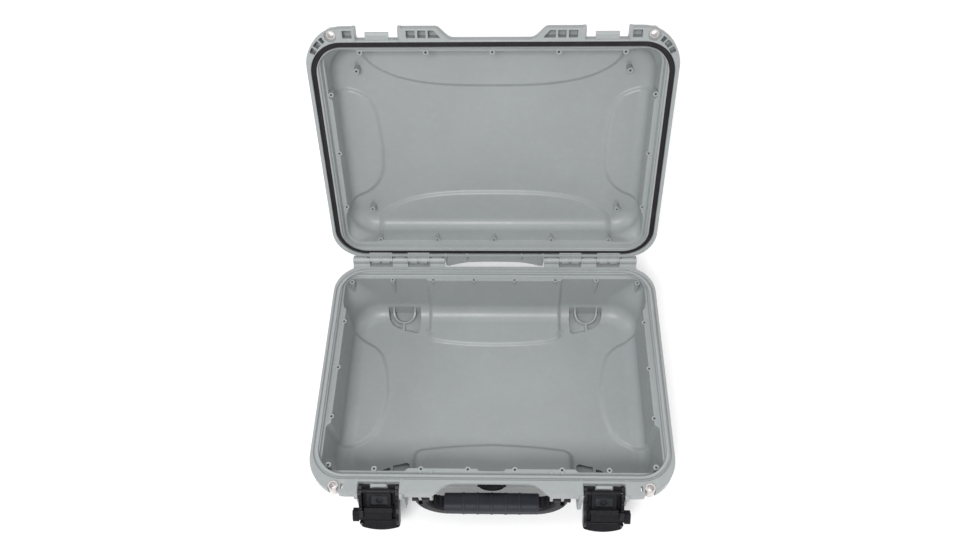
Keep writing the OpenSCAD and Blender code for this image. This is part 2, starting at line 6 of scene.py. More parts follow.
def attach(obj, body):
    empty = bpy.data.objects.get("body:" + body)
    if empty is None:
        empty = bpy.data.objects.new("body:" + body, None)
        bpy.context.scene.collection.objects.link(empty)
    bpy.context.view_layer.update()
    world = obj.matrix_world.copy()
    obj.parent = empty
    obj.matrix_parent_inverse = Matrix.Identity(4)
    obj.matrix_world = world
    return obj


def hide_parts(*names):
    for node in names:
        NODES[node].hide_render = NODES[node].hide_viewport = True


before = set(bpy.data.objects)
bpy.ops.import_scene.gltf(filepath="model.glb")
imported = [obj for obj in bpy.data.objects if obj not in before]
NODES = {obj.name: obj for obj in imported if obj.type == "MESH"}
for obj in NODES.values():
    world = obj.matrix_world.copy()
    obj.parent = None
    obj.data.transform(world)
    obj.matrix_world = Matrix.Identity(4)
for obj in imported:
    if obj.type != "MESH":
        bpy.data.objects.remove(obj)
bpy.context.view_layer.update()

MM = 0.001
rad = math.radians

# ---------------------------------------------------------------- hinge and lid
HY, HZ = 173.4, 100.85
OPEN = rad(108)


def opened(v):
    """closed-lid coordinates to the open pose drawn in the CAD"""
    v = np.asarray(v, float)
    y, z = v[:, 1] - HY, v[:, 2] - HZ
    c, s = math.cos(-OPEN), math.sin(-OPEN)
    return np.stack([v[:, 0], y * c - z * s + HY, y * s + z * c + HZ], 1)


# ---------------------------------------------------------------- materials
def new_mat(name):
    m = bpy.data.materials.new(name)
    m.use_nodes = True
    nt = m.node_tree
    return m, nt, nt.nodes["Principled BSDF"]


def N(nt, kind, **kw):
    n = nt.nodes.new(kind)
    for k, v in kw.items():
        if k in ("operation", "blend_type", "data_type", "feature", "distance", "noise_dimensions"):
            setattr(n, k, v)
        else:
            n.inputs[k].default_value = v
    return n


def noise(nt, co, scale, detail=3.0, rough=0.55):
    n = N(nt, "ShaderNodeTexNoise", Scale=scale, Detail=detail, Roughness=rough)
    nt.links.new(co, n.inputs["Vector"])
    return n.outputs["Fac"]


def remap(nt, fac, a, b, lo=0.0, hi=1.0):
    n = nt.nodes.new("ShaderNodeMapRange")
    n.inputs["From Min"].default_value = lo
    n.inputs["From Max"].default_value = hi
    n.inputs["To Min"].default_value = a
    n.inputs["To Max"].default_value = b
    nt.links.new(fac, n.inputs["Value"])
    return n.outputs["Result"]


def mixc(nt, fac, a, b):
    n = nt.nodes.new("ShaderNodeMix")
    n.data_type = "RGBA"
    for i, v in ((6, a), (7, b)):
        if isinstance(v, tuple):
            n.inputs[i].default_value = (*v, 1)
        else:
            nt.links.new(v, n.inputs[i])
    if isinstance(fac, float):
        n.inputs[0].default_value = fac
    else:
        nt.links.new(fac, n.inputs[0])
    return n.outputs[2]


def math2(nt, op, a, b):
    n = nt.nodes.new("ShaderNodeMath")
    n.operation = op
    for i, v in ((0, a), (1, b)):
        if isinstance(v, (int, float)):
            n.inputs[i].default_value = v
        else:
            nt.links.new(v, n.inputs[i])
    return n.outputs[0]


def bumps(nt, bsdf, layers):
    """layers: (height socket, strength, distance in metres), stacked"""
    last = None
    for h, s, d in layers:
        b = nt.nodes.new("ShaderNodeBump")
        b.inputs["Strength"].default_value = s
        b.inputs["Distance"].default_value = d
        nt.links.new(h, b.inputs["Height"])
        if last is not None:
            nt.links.new(last, b.inputs["Normal"])
        last = b.outputs["Normal"]
    nt.links.new(last, bsdf.inputs["Normal"])


def plastic(name, base, alt, edge, rough=(0.36, 0.5), grain=1500.0, grain_s=0.25, spec=0.45, cloud=9.0, wear=0.5):
    m, nt, b = new_mat(name)
    co = nt.nodes.new("ShaderNodeTexCoord").outputs["Object"]
    broad = noise(nt, co, cloud, 4, 0.6)
    mid = noise(nt, co, cloud * 11, 5, 0.65)
    fine = noise(nt, co, grain, 2, 0.5)
    flow = noise(nt, co, grain * 0.28, 3, 0.6)
    c = mixc(nt, remap(nt, broad, 0, 1, 0.32, 0.68), base, alt)
    c = mixc(nt, remap(nt, mid, 0, 0.16, 0.5, 0.75), c, edge)
    geo = nt.nodes.new("ShaderNodeNewGeometry")
    worn = remap(nt, geo.outputs["Pointiness"], 0, 1, 0.515, 0.60)
    worn = math2(nt, "MULTIPLY", worn, remap(nt, mid, 0.2, 1.0, 0.3, 0.7))
    c = mixc(nt, math2(nt, "MULTIPLY", worn, wear), c, edge)
    nt.links.new(c, b.inputs["Base Color"])
    r = math2(nt, "ADD", remap(nt, mid, rough[0], rough[1], 0.3, 0.7), math2(nt, "MULTIPLY", math2(nt, "SUBTRACT", fine, 0.5), 0.10))
    nt.links.new(r, b.inputs["Roughness"])
    b.inputs["Specular IOR Level"].default_value = spec
    bumps(nt, b, [(flow, grain_s * 0.5, 0.00010), (fine, grain_s, 0.00007)])
    return m


SHELL = plastic("moulded_shell", (0.292, 0.310, 0.314), (0.272, 0.289, 0.291), (0.37, 0.39, 0.395), (0.33, 0.45), 1600, 0.22, 0.42)
SHELL_D = plastic("moulded_shell_matt", (0.345, 0.372, 0.378), (0.322, 0.346, 0.350), (0.42, 0.45, 0.455), (0.42, 0.55), 1100, 0.4, 0.4)
BLACK = plastic("latch_plastic", (0.0095, 0.0088, 0.0105), (0.013, 0.0125, 0.014), (0.045, 0.043, 0.047), (0.30, 0.44), 2100, 0.35, 0.1, 20, 0.5)
PLATE = plastic("latch_plate", (0.026, 0.029, 0.035), (0.034, 0.037, 0.043), (0.08, 0.085, 0.095), (0.28, 0.42), 2100, 0.3, 0.3, 20, 0.5)


def rubber():
    m, nt, b = new_mat("grip_rubber")
    co = nt.nodes.new("ShaderNodeTexCoord").outputs["Object"]
    broad = noise(nt, co, 26, 4, 0.6)
    fine = noise(nt, co, 2600, 2, 0.5)
    c = mixc(nt, remap(nt, broad, 0, 1, 0.3, 0.7), (0.0185, 0.0200, 0.0275), (0.025, 0.0270, 0.0360))
    geo = nt.nodes.new("ShaderNodeNewGeometry")
    worn = remap(nt, geo.outputs["Pointiness"], 0, 0.5, 0.51, 0.60)
    c = mixc(nt, worn, c, (0.085, 0.088, 0.108))
    nt.links.new(c, b.inputs["Base Color"])
    nt.links.new(remap(nt, broad, 0.48, 0.64), b.inputs["Roughness"])
    b.inputs["Sheen Weight"].default_value = 0.02
    b.inputs["Specular IOR Level"].default_value = 0.24
    b.inputs["Sheen Roughness"].default_value = 0.4
    bumps(nt, b, [(fine, 0.45, 0.00008)])
    return m


def foam():
    m, nt, b = new_mat("gasket_foam")
    co = nt.nodes.new("ShaderNodeTexCoord").outputs["Object"]
    v = N(nt, "ShaderNodeTexVoronoi", Scale=1500.0)
    nt.links.new(co, v.inputs["Vector"])
    broad = noise(nt, co, 60, 3, 0.6)
    c = mixc(nt, remap(nt, broad, 0, 1, 0.3, 0.7), (0.012, 0.011, 0.012), (0.020, 0.018, 0.020))
    nt.links.new(c, b.inputs["Base Color"])
    b.inputs["Roughness"].default_value = 0.82
    b.inputs["Specular IOR Level"].default_value = 0.3
    bumps(nt, b, [(broad, 0.2, 0.0002), (v.outputs["Distance"], 0.5, 0.00012)])
    return m


def steel(name, base, rough, aniso_axis=0, grain=900):
    m, nt, b = new_mat(name)
    tc = nt.nodes.new("ShaderNodeTexCoord")
    mp = nt.nodes.new("ShaderNodeMapping")
    sc = [grain, grain, grain]
    sc[aniso_axis] = grain * 0.04
    mp.inputs["Scale"].default_value = sc
    nt.links.new(tc.outputs["Object"], mp.inputs["Vector"])
    lines = noise(nt, mp.outputs["Vector"], 1.0, 4, 0.6)
    broad = noise(nt, tc.outputs["Object"], 120, 4, 0.6)
    c = mixc(nt, remap(nt, broad, 0, 1, 0.3, 0.7), base, tuple(x * 0.86 for x in base))
    nt.links.new(c, b.inputs["Base Color"])
    b.inputs["Metallic"].default_value = 1.0
    nt.links.new(remap(nt, lines, rough * 0.8, rough * 1.35, 0.3, 0.7), b.inputs["Roughness"])
    bumps(nt, b, [(lines, 0.15, 0.00004)])
    return m


def membrane():
    m, nt, b = new_mat("vent_membrane")
    co = nt.nodes.new("ShaderNodeTexCoord").outputs["Object"]
    f = noise(nt, co, 3000, 3, 0.6)
    g = noise(nt, co, 300, 3, 0.6)
    nt.links.new(mixc(nt, g, (0.70, 0.70, 0.67), (0.78, 0.78, 0.76)), b.inputs["Base Color"])
    b.inputs["Roughness"].default_value = 0.8
    bumps(nt, b, [(f, 0.6, 0.00008)])
    return m


GRIP, FOAM = rubber(), foam()
PIN = steel("pin_steel", (0.56, 0.56, 0.55), 0.26, 0)
SLEEVE = steel("sleeve_steel", (0.73, 0.69, 0.675), 0.48, 2, 500)
MEMB = membrane()

# ---------------------------------------------------------------- mesh helpers


def finish_mesh(o, angle=34, weighted=True):
    me = o.data
    me.shade_smooth()
    me.set_sharp_from_angle(angle=rad(angle))
    if weighted:
        w = o.modifiers.new("normals", "WEIGHTED_NORMAL")
        w.keep_sharp = True
    return o


def raw(name, verts, faces, place=None):
    v = np.asarray(verts, float)
    if place is not None:
        v = place(v)
    me = bpy.data.meshes.new(name)
    me.from_pydata((v * MM).tolist(), [], faces)
    me.validate()
    o = bpy.data.objects.new(name, me)
    bpy.context.scene.collection.objects.link(o)
    return o


def fix_normals(o):
    bm = bmesh.new()
    bm.from_mesh(o.data)
    bmesh.ops.recalc_face_normals(bm, faces=bm.faces)
    bm.to_mesh(o.data)
    bm.free()


def boolean(o, cutter, op="DIFFERENCE", keep=False):
    m = o.modifiers.new("b", "BOOLEAN")
    m.operation = op
    m.solver = "EXACT"
    m.object = cutter
    dg = bpy.context.evaluated_depsgraph_get()
    dg.update()
    me = bpy.data.meshes.new_from_object(o.evaluated_get(dg))
    o.modifiers.remove(m)
    old = o.data
    o.data = me
    bpy.data.meshes.remove(old)
    if not keep:
        bpy.data.objects.remove(cutter)
    return o


def join(name, objs):
    bm = bmesh.new()
    for o in objs:
        bm.from_mesh(o.data)
    me = bpy.data.meshes.new(name)
    bm.to_mesh(me)
    bm.free()
    o = bpy.data.objects.new(name, me)
    bpy.context.scene.collection.objects.link(o)
    for x in objs:
        bpy.data.objects.remove(x)
    return o


def prism(outline, lo, hi, axis="z", bev=0.0, seg=2, place=None, name="p", only=None, angle=20):
    """closed prism of a 2-D outline. axis z: (x, y); axis x: (y, z); axis y: (x, z)"""
    pts = list(outline)
    area = sum(a[0] * b[1] - b[0] * a[1] for a, b in zip(pts, pts[1:] + pts[:1]))
    if area < 0:
        pts = pts[::-1]
    n = len(pts)

    def at(p, t):
        return {"z": (p[0], p[1], t), "x": (t, p[0], p[1]), "y": (p[0], t, p[1])}[axis]

    bm = bmesh.new()
    lov = [bm.verts.new(at(p, lo)) for p in pts]
    hiv = [bm.verts.new(at(p, hi)) for p in pts]
    bm.faces.new(lov[::-1])
    bm.faces.new(hiv)
    for i in range(n):
        j = (i + 1) % n
        bm.faces.new([lov[i], lov[j], hiv[j], hiv[i]])
    if axis == "y":
        bmesh.ops.reverse_faces(bm, faces=bm.faces)
    bm.normal_update()
    if bev:
        es = [e for e in bm.edges if e.calc_face_angle(0) > rad(angle) and (only is None or only(e))]
        bmesh.ops.bevel(bm, geom=es, offset=bev, segments=seg, profile=0.5, affect="EDGES", clamp_overlap=True)
    me = bpy.data.meshes.new(name)
    if place is not None:
        co = place(np.array([v.co[:] for v in bm.verts]))
        for v, c in zip(bm.verts, co):
            v.co = c
    for v in bm.verts:
        v.co *= MM
    bmesh.ops.recalc_face_normals(bm, faces=bm.faces)
    bm.to_mesh(me)
    bm.free()
    o = bpy.data.objects.new(name, me)
    bpy.context.scene.collection.objects.link(o)
    return o


def circ(cx, cy, r, n=32, a0=0.0, a1=360.0, closed=True):
    k = n if closed else n - 1
    return [(cx + r * math.cos(rad(a0 + (a1 - a0) * i / k)), cy + r * math.sin(rad(a0 + (a1 - a0) * i / k))) for i in range(n)]


def rbox(x0, x1, y0, y1, r, n=5):
    pts = []
    for cx, cy, a in ((x1 - r, y0 + r, -90), (x1 - r, y1 - r, 0), (x0 + r, y1 - r, 90), (x0 + r, y0 + r, 180)):
        pts += [(cx + r * math.cos(rad(a + 90 * i / n)), cy + r * math.sin(rad(a + 90 * i / n))) for i in range(n + 1)]
    return pts


def turned(profile, n=48, place=None, name="t", closed=True):
    """surface of revolution about Z of a (r, z) profile; r = 0 ends are closed to a point"""
    V, F, rows = [], [], []
    for r, z in profile:
        if r <= 1e-6:
            rows.append([len(V)])
            V.append((0, 0, z))
        else:
            rows.append(list(range(len(V), len(V) + n)))
            V += [(r * math.cos(2 * math.pi * i / n), r * math.sin(2 * math.pi * i / n), z) for i in range(n)]
    pairs = list(zip(rows, rows[1:]))
    if closed:
        pairs.append((rows[-1], rows[0]))
    for a, b in pairs:
        for i in range(n):
            j = (i + 1) % n
            if len(a) == 1 and len(b) == 1:
                continue
            if len(a) == 1:
                F.append((a[0], b[j], b[i]))
            elif len(b) == 1:
                F.append((a[i], a[j], b[0]))
            else:
                F.append((a[i], a[j], b[j], b[i]))
    o = raw(name, V, F, place)
    fix_normals(o)
    return o


def rounded(profile, r=0.4, n=3):
    """rounds the corners of a closed (r, z) profile"""
    out = []
    m = len(profile)
    for i in range(m):
        p0, p, p1 = (np.array(profile[(i + k) % m], float) for k in (-1, 0, 1))
        if p[0] <= 1e-6:
            out.append(tuple(p))
            continue
        a, b = p0 - p, p1 - p
        la, lb = np.linalg.norm(a), np.linalg.norm(b)
        d = min(r, la * 0.45, lb * 0.45)
        a, b = p + a / la * d, p + b / lb * d
        for t in np.linspace(0, 1, n + 1):
            out.append(tuple((1 - t) ** 2 * a + 2 * t * (1 - t) * p + t * t * b))
    return out


def smooth01(t):
    t = np.clip(t, 0, 1)
    return t * t * (3 - 2 * t)


def catmull(pts, k=6):
    P = np.array(pts, float)
    out = []
    for i in range(len(P) - 1):
        p0, p1, p2, p3 = P[max(i - 1, 0)], P[i], P[i + 1], P[min(i + 2, len(P) - 1)]
        for t in np.arange(k) / k:
            out.append(0.5 * (2 * p1 + (p2 - p0) * t + (2 * p0 - 5 * p1 + 4 * p2 - p3) * t ** 2 + (3 * p1 - p0 - 3 * p2 + p3) * t ** 3))
    out.append(P[-1])
    return np.array(out)


def sdf(points, poly):
    """signed distance of 2-D points to a closed polygon, positive inside"""
    p = points[:, None, :]
    a = poly[None, :, :]
    b = np.roll(poly, -1, 0)[None, :, :]
    e, w = b - a, p - a
    t = np.clip((w * e).sum(2) / (e * e).sum(2), 0, 1)
    d = np.sqrt(((w - e * t[..., None]) ** 2).sum(2)).min(1)
    ay, by = a[..., 1], b[..., 1]
    cross = (ay <= p[..., 1]) != (by <= p[..., 1])
    with np.errstate(divide="ignore", invalid="ignore"):
        xi = a[..., 0] + (p[..., 1] - ay) / (by - ay) * e[..., 0]
    inside = (np.where(cross, xi > p[..., 0], False).sum(1) % 2) == 1
    return np.where(inside, d, -d)


# ---------------------------------------------------------------- plan columns
def xcols():
    xs = set(np.round(np.arange(0, 172.1, 3.0), 2))
    xs |= set(np.round(np.arange(90, 112, 1.3), 2)) | {14.5, 15.5, 16.5, 17.5, 18.5, 19.5}
    xs = {x for x in xs if not (112.6 < x < 116.4 or 165.1 < x < 168.9)}
    return sorted(xs)


STEP_IN = [(113.2, 113.2, -178.0), (113.7, 114.3, -177.5), (114.1, 114.75, -176.5), (114.5, 114.75, -170.5),
           (114.9, 114.75, -164.7), (115.3, 115.1, -163.85), (115.9, 115.9, -163.5)]
STEP_OUT = [(165.6, 165.6, -163.5), (166.2, 166.4, -163.85), (166.6, 166.75, -164.7), (167.0, 166.75, -170.5),
            (167.4, 166.75, -176.5), (167.8, 167.2, -177.5), (168.3, 168.3, -178.0)]


def front_line(x, handle):
    ax = abs(x)
    if 115.9 <= ax <= 165.6:
        return -163.5
    if ax < 113.5:
        hx = handle
        return float(np.interp(ax, [p[0] for p in hx], [p[1] for p in hx]))
    return -178.0


HANDLE_B = catmull([(0, -163.5), (40, -163.5), (47, -163.6), (53, -164.6), (58, -167.2), (64, -171.8), (69, -176.2), (72, -177.8), (76, -178), (113.5, -178)], 5)
HANDLE_L = catmull([(0, -163.5), (44, -163.5), (49, -163.7), (53, -165.2), (58, -169.5), (62, -173.6), (66, -177.2), (69, -178), (74, -178), (113.5, -178)], 5)
YC = sorted(set(np.round(np.concatenate([np.arange(-72, 75, 4.0), np.arange(-97, -72, 1.6), np.arange(74, 98, 1.6)]), 2)))
NC = 15


class Plan:
    """matched columns for every loop of a shell"""

    def __init__(self, handle):
        right = [(x, None) for x in xcols()]
        cols = [(x, x, None) for x in xcols()] + STEP_IN + STEP_OUT
        cols.sort(key=lambda c: c[0])
        pos = cols
        neg = [(-a, -b, y) for a, b, y in reversed(cols) if a > 0]
        self.front = neg + pos
        self.handle = handle
        self.fx = np.array([c[0] for c in self.front])
        self.bx = np.array(sorted([x for x in xcols()] + [-x for x in xcols() if x > 0], reverse=True))
        self.ys = np.array(YC)

    def loop(self, hx, yf, yb, rf, rb):
        """rounded rectangle; yf, yb positive distances. Returns positions and outward normals"""
        P, Nn = [], []

        def straight(c, L, lo, hi, make, nrm):
            lim = np.abs(c).max()
            k = min(1.0, (min(L[0], L[1])) / (lim + 1.0)) if min(L) < lim + 1.0 else 1.0
            s = c * k
            first, last = lo, hi
            pre = [first + (s[0] - first) * f for f in (0.34, 0.67)]
            post = [s[-1] + (last - s[-1]) * f for f in (0.33, 0.66)]
            for v in list(pre) + list(s) + list(post):
                P.append(make(v))
                Nn.append(nrm)

        def arc(cx, cy, r, a0):
            for i in range(NC):
                a = rad(a0 + 90 * i / (NC - 1))
                P.append((cx + r * math.cos(a), cy + r * math.sin(a)))
                Nn.append((math.cos(a), math.sin(a)))

        L = hx - rf
        straight(self.fx, (L, L), -L, L, lambda x: (x, -yf), (0, -1))
        arc(hx - rf, -(yf - rf), rf, -90)
        straight(self.ys, (yf - rf, yb - rb), -(yf - rf), yb - rb, lambda y: (hx, y), (1, 0))
        arc(hx - rb, yb - rb, rb, 0)
        L = hx - rb
        straight(self.bx, (L, L), L, -L, lambda x: (x, yb), (0, 1))
        arc(-(hx - rb), yb - rb, rb, 90)
        straight(-self.ys, (yf - rf, yb - rb), yb - rb, -(yf - rf), lambda y: (-hx, y), (-1, 0))
        arc(-(hx - rf), -(yf - rf), rf, 180)
        return np.array(P), np.array(Nn)

    def outline(self):
        """outer line of the rim with bays, and its outward normals"""
        P, Nn = self.loop(232.5, 178, 165, 50, 42)
        P, Nn = P.copy(), Nn.copy()
        o = 2
        n = len(self.front)
        for i, (cx, ox, oy) in enumerate(self.front):
            y = oy if oy is not None else front_line(cx, self.handle)
            P[o + i] = (ox, y)
        a, b = o - 1, o + n + 1
        seg = P[a:b + 1]
        t = np.gradient(seg, axis=0)
        t /= np.linalg.norm(t, axis=1)[:, None]
        Nn[a + 1:b] = np.stack([t[:, 1], -t[:, 0]], 1)[1:-1]
        return P, Nn

    def bay(self):
        """1 in the latch bays and the handle bay, 0 elsewhere, per column"""
        P, _ = self.outline()
        v = np.zeros(len(P))
        n = len(self.front)
        for i, (cx, ox, oy) in enumerate(self.front):
            ax = abs(ox)
            if 114.6 <= ax <= 166.9 or ax < 72.5:
                v[2 + i] = 1
        return v


def loft(name, loops, cap0, cap1, place=None):
    """closed mesh from matched loops"""
    n = len(loops[0])
    V = np.concatenate(loops)
    F = []
    for k in range(len(loops) - 1):
        a, b = k * n, (k + 1) * n
        for i in range(n):
            j = (i + 1) % n
            F.append((a + i, a + j, b + j, b + i))
    F.append(list(range(n))[::-1])
    F.append(list(range((len(loops) - 1) * n, len(loops) * n)))
    o = raw(name, V, F, place)
    fix_normals(o)
    return o


def lerp(a, b, t):
    return a + (b - a) * t

# ---------------------------------------------------------------- base shell
def mirror_x(p):
    return np.array([(-x, y) for x, y in p])[::-1]


def base_panels():
    back = np.array([(0, 83), (41, 84), (78, 87.8), (92, 91), (97, 95), (98.5, 101), (98.5, 190)])
    back = np.concatenate([mirror_x(back), back[1:]])
    front = np.array([(0, -77.2), (35.7, -78.8), (69.5, -81.4), (98, -85), (104.5, -87.5), (107.5, -92), (108, -99), (108, -190)])
    front = np.concatenate([mirror_x(front), front[1:]])
    side = catmull([(300, -84), (230, -84), (205, -83.5), (188.8, -77.9), (176, -69.7), (165.5, -57), (158.5, -36), (154.8, -12),
                    (154.2, 6), (156.5, 25), (160.6, 46), (168.5, 65.5), (181.6, 78.8), (197, 87.1), (211.2, 95), (230, 97), (300, 97)], 4)
    return back, front, side


BACK, FRONT, SIDE = base_panels()
DIMPLE = np.array([(-17, -100), (17, -100), (17, -190), (-17, -190)])


def base_relief(P, z, deep):
    """inward offset in mm of the inner wall and floor at plan positions P"""
    zz = np.full(len(P), z) if np.isscalar(z) else z
    ax = np.stack([np.abs(P[:, 0]), P[:, 1]], 1)
    w = 5.4
    mb = smooth01(sdf(P, BACK) / w + 0.5)
    mf = smooth01(sdf(P, FRONT) / w + 0.5)
    ms = smooth01(sdf(ax, SIDE) / (w + 0.8) + 0.5)
    hi = smooth01((zz - 12) / 30)
    a_s = lerp(3.9, 5.8, hi)
    a_f = lerp(3.9, 3.8, hi)
    d = mb * a_f + mf * a_f + ms * a_s
    d -= smooth01(sdf(P, DIMPLE) / 3 + 0.5) * 3.0 * smooth01((zz - 60) / 10) * deep
    return d


def build_base():
    plan = Plan(HANDLE_B)
    OUT, ON = plan.outline()
    BAY = plan.bay()
    loops = []

    def add(P, z):
        z = np.full(len(P), float(z)) if np.isscalar(z) else z
        loops.append(np.concatenate([P, z[:, None]], 1))

    # inside, from the floor outwards
    FR, ZF = 24.0, 6.0

    def wall(z):
        """inset and corner radius of the inner wall"""
        t = (91 - z) / 62.5
        return 3.0 * t, lerp(15, 44, smooth01(t * 1.15))

    P0, _ = plan.loop(217.5 - 27, 147 - 27, 147 - 27, 20, 20)
    ks = list(np.linspace(0.615, 1.0, 40)[:-1])
    for k in ks:
        P = P0 * k
        add(P, ZF + base_relief(P, 3.5, 1))
    for i in range(0, 17):
        f = rad(90 - 90 * i / 16)
        ins = 3 + FR * (1 - math.cos(f))
        r = 44 - FR * (1 - math.cos(f))
        P, Nn = plan.loop(217.5 - ins, 147 - ins, 147 - ins, r, r)
        z = ZF + FR * (1 - math.sin(f))
        d = base_relief(P, z, 1)
        add(P - Nn * (d * math.cos(f))[:, None], z + d * math.sin(f))
    for z in (32, 36, 41, 46, 51, 56, 61, 66, 71, 76, 81, 85, 88, 89.7):
        ins, r = wall(z)
        P, Nn = plan.loop(217.5 - ins, 147 - ins, 147 - ins, r, r)
        add(P - Nn * base_relief(P, z, 1)[:, None], z)
    P, Nn = plan.loop(217.5, 147, 147, 15, 15)
    d = base_relief(P, 91.0, 1)
    add(P - Nn * (d - 0.35)[:, None], 90.65)
    add(P - Nn * (d - 1.2)[:, None], 91)
    # ledge, band, tongue, valley
    for hx, y, r, z in ((219.1, 151.2, 19, 91), (219.7, 151.8, 20, 91.5), (220.2, 152.4, 21, 94.9), (220.5, 152.7, 22, 95.6), (221.1, 153.3, 23, 95.9),
                        (221.8, 154.1, 35.6, 96.0), (222.0, 154.3, 36, 97.9), (222.5, 154.8, 36.5, 98.5), (225.3, 156.9, 38.3, 98.5),
                        (226.0, 157.5, 38.8, 97.9), (226.3, 157.8, 39.2, 95.2), (226.9, 158.3, 39.6, 94.5), (228.0, 159.3, 40, 94.5),
                        (228.4, 159.7, 40.4, 95.3), (229.1, 160.4, 41, 95.9)):
        P, _ = plan.loop(hx, y, y, r, r)
        add(P, z)
    ins = lambda d: OUT - ON * d
    add(ins(1.3), 96)
    add(ins(0.45), 95.75)
    add(ins(0.0), 94.9)
    zb = np.where(BAY > 0, 88.0, 80.0)
    add(ins(0.0), np.full(len(OUT), 91.5))
    add(ins(0.0), zb + 1.0)
    add(ins(0.35), zb + 0.25)
    add(ins(1.1), zb)
    add(ins(2.1), zb)
    add(ins(2.7), zb + 0.6)
    add(ins(2.9), np.full(len(OUT), 88.2))
    # outside wall
    for z, extra, rr in ((88.0, 4.2, 18.5), (87.0, 3.4, 18)):
        P, Nn = plan.loop(217.5 + extra, 147 + extra, 147 + extra, rr, rr)
        add(P - Nn * base_relief(P, z, 0)[:, None] * 0.8, z)
    for z in (80, 72, 64, 56, 48, 40, 34):
        i_, r = wall(z)
        P, Nn = plan.loop(217.5 - i_ + 3.2, 147 - i_ + 3.2, 147 - i_ + 3.2, r + 3.2, r + 3.2)
        add(P - Nn * base_relief(P, z, 0)[:, None] * 0.8, z)
    FO = FR + 3.2
    ZB = ZF - 3.2

    def foot(P, Nn=None):
        f = smooth01((29.5 - np.abs(np.abs(P[:, 0]) - 139)) / 2.2 + 0.5)
        if Nn is not None:
            return f * (np.abs(Nn[:, 1]) > 0.9)
        return f * smooth01((np.abs(P[:, 1]) - 100) / 2.2 + 0.5)

    for i in range(0, 15):
        f = rad(90 * i / 14)
        c, s_ = math.cos(f), math.sin(f)
        sq = 1.0 / (c ** 22 + s_ ** 22) ** (1 / 22.0) - 1
        i_ = 3 - 3.2 + FO * (1 - c)
        r = 47 - FR * (1 - c)
        P, Nn = plan.loop(217.5 - i_, 147 - i_, 147 - i_, r, r)
        m = foot(P, Nn)
        z = ZB + FO - FO * s_
        d = base_relief(P, max(z, 3.5), 0) * 0.8
        q = FO * sq * m
        add(P - Nn * (d * c - q * c)[:, None], (z + d * s_ - q * s_) - m * ZB * smooth01((20 - z) / 16))
    Pb, _ = plan.loop(217.5 - 27, 147 - 27, 147 - 27, 20, 20)
    for k in np.linspace(0.99, 0.615, 26):
        P = Pb * k
        m = foot(P)
        add(P, (ZB + base_relief(P, 3.5, 0) * 0.8) * (1 - m))
    tub = loft("tub", loops, True, True)

    holes, adds = [], []
    # screw bosses on the walls and their holes
    for x in (-149, -89.4, -29.8, 29.8, 89.4, 149):
        for s in (-1, 1):
            adds.append(((x, s * 144.5), 3.4, (0, s), 30 if s < 0 else (60 if abs(x) > 120 else 44)))
            holes.append((x, s * 144.5))
    for y in (-73, 0, 73):
        for s in (-1, 1):
            adds.append(((s * 212.2, y), 3.5, (s, 0), 30))
            holes.append((s * 212.2, y))
    for sx in (-1, 1):
        for sy in (-1, 1):
            adds.append(((sx * 208.1, sy * 140), 3.7, (sx * 0.707, sy * 0.707), 58))
            holes.append((sx * 208.1, sy * 140))
    extra = []
    for (x, y), r, (nx, ny), h in adds:
        extra.append(boss(x, y, r, nx, ny, 91.0, -1, h))
    tub = boolean(tub, join("x", extra), "UNION")
    cut = [drill(x, y, 92.5, 1.6, 12) for x, y in holes]
    cut += [prism(p, 0.9, 60, bev=0.8, only=lambda e: max(v.co.z for v in e.verts) < 1) for p in pocket_cuts()]
    for s in (-1, 1):
        cut.append(turned([(0, 70), (6.4, 70), (6.4, 100), (0, 100)], 40, lambda v, s=s: v + np.array([s * 197.3, -169.3, 0]), closed=False))
        cut.append(prism(rbox(s * 186.9 - 1.25, s * 186.9 + 1.25, -173.0, -166.0, 1.15), 84, 100))
    notch = join("c", [prism(rbox(s * 197.3 - 6.5, s * 197.3 + 6.5, -184, -170.6, 0.3, 1), 70, 100) for s in (-1, 1)])
    cut.append(turned([(0, 0), (8.2, 0), (8.2, 40), (0, 40)], 40, lambda v: np.stack([v[:, 0], -165 + v[:, 2], 54 + v[:, 1]], 1), closed=False))
    tub = boolean(tub, join("c", cut), "DIFFERENCE")
    return boolean(tub, notch)


def rounded2(p, r, n=5):
    """rounds the corners of a 2-D outline"""
    out, m = [], len(p)
    rs = r if isinstance(r, (list, tuple)) else [r] * m
    for i in range(m):
        p0, q, p1 = (np.array(p[(i + k) % m], float) for k in (-1, 0, 1))
        a, b = p0 - q, p1 - q
        la, lb = np.linalg.norm(a), np.linalg.norm(b)
        ang = math.acos(max(-1, min(1, float(a @ b) / la / lb)))
        d = min(rs[i] / math.tan(ang / 2), la * 0.48, lb * 0.48) if rs[i] > 0 else 0
        if d < 1e-6:
            out.append(tuple(q))
            continue
        a, b = q + a / la * d, q + b / lb * d
        for t in np.linspace(0, 1, n + 1):
            out.append(tuple((1 - t) ** 2 * a + 2 * t * (1 - t) * q + t * t * b))
    return out


def boss(x, y, r, nx, ny, ztop, sgn, h, tilt=4.5):
    """tapered half-round rib under a screw hole; its top is flush with the ledge"""
    rows = []
    for t, k in ((0.0, 1.0), (0.25, 0.90), (0.55, 0.78), (0.8, 0.62), (1.0, 0.34)):
        z = ztop + sgn * (t * h) - sgn * 0.02
        off = tilt * t
        rows.append([(x + nx * off + r * k * math.cos(a), y + ny * off + r * k * math.sin(a), z) for a in np.linspace(0, 2 * math.pi, 25)[:-1]])
    V = np.concatenate(rows)
    n = 24
    F = []
    for i in range(len(rows) - 1):
        for j in range(n):
            q = (j + 1) % n
            F.append((i * n + j, i * n + q, (i + 1) * n + q, (i + 1) * n + j))
    F.append(list(range(n))[::-1])
    F.append(list(range((len(rows) - 1) * n, len(rows) * n)))
    o = raw("boss", V, F)
    fix_normals(o)
    return o


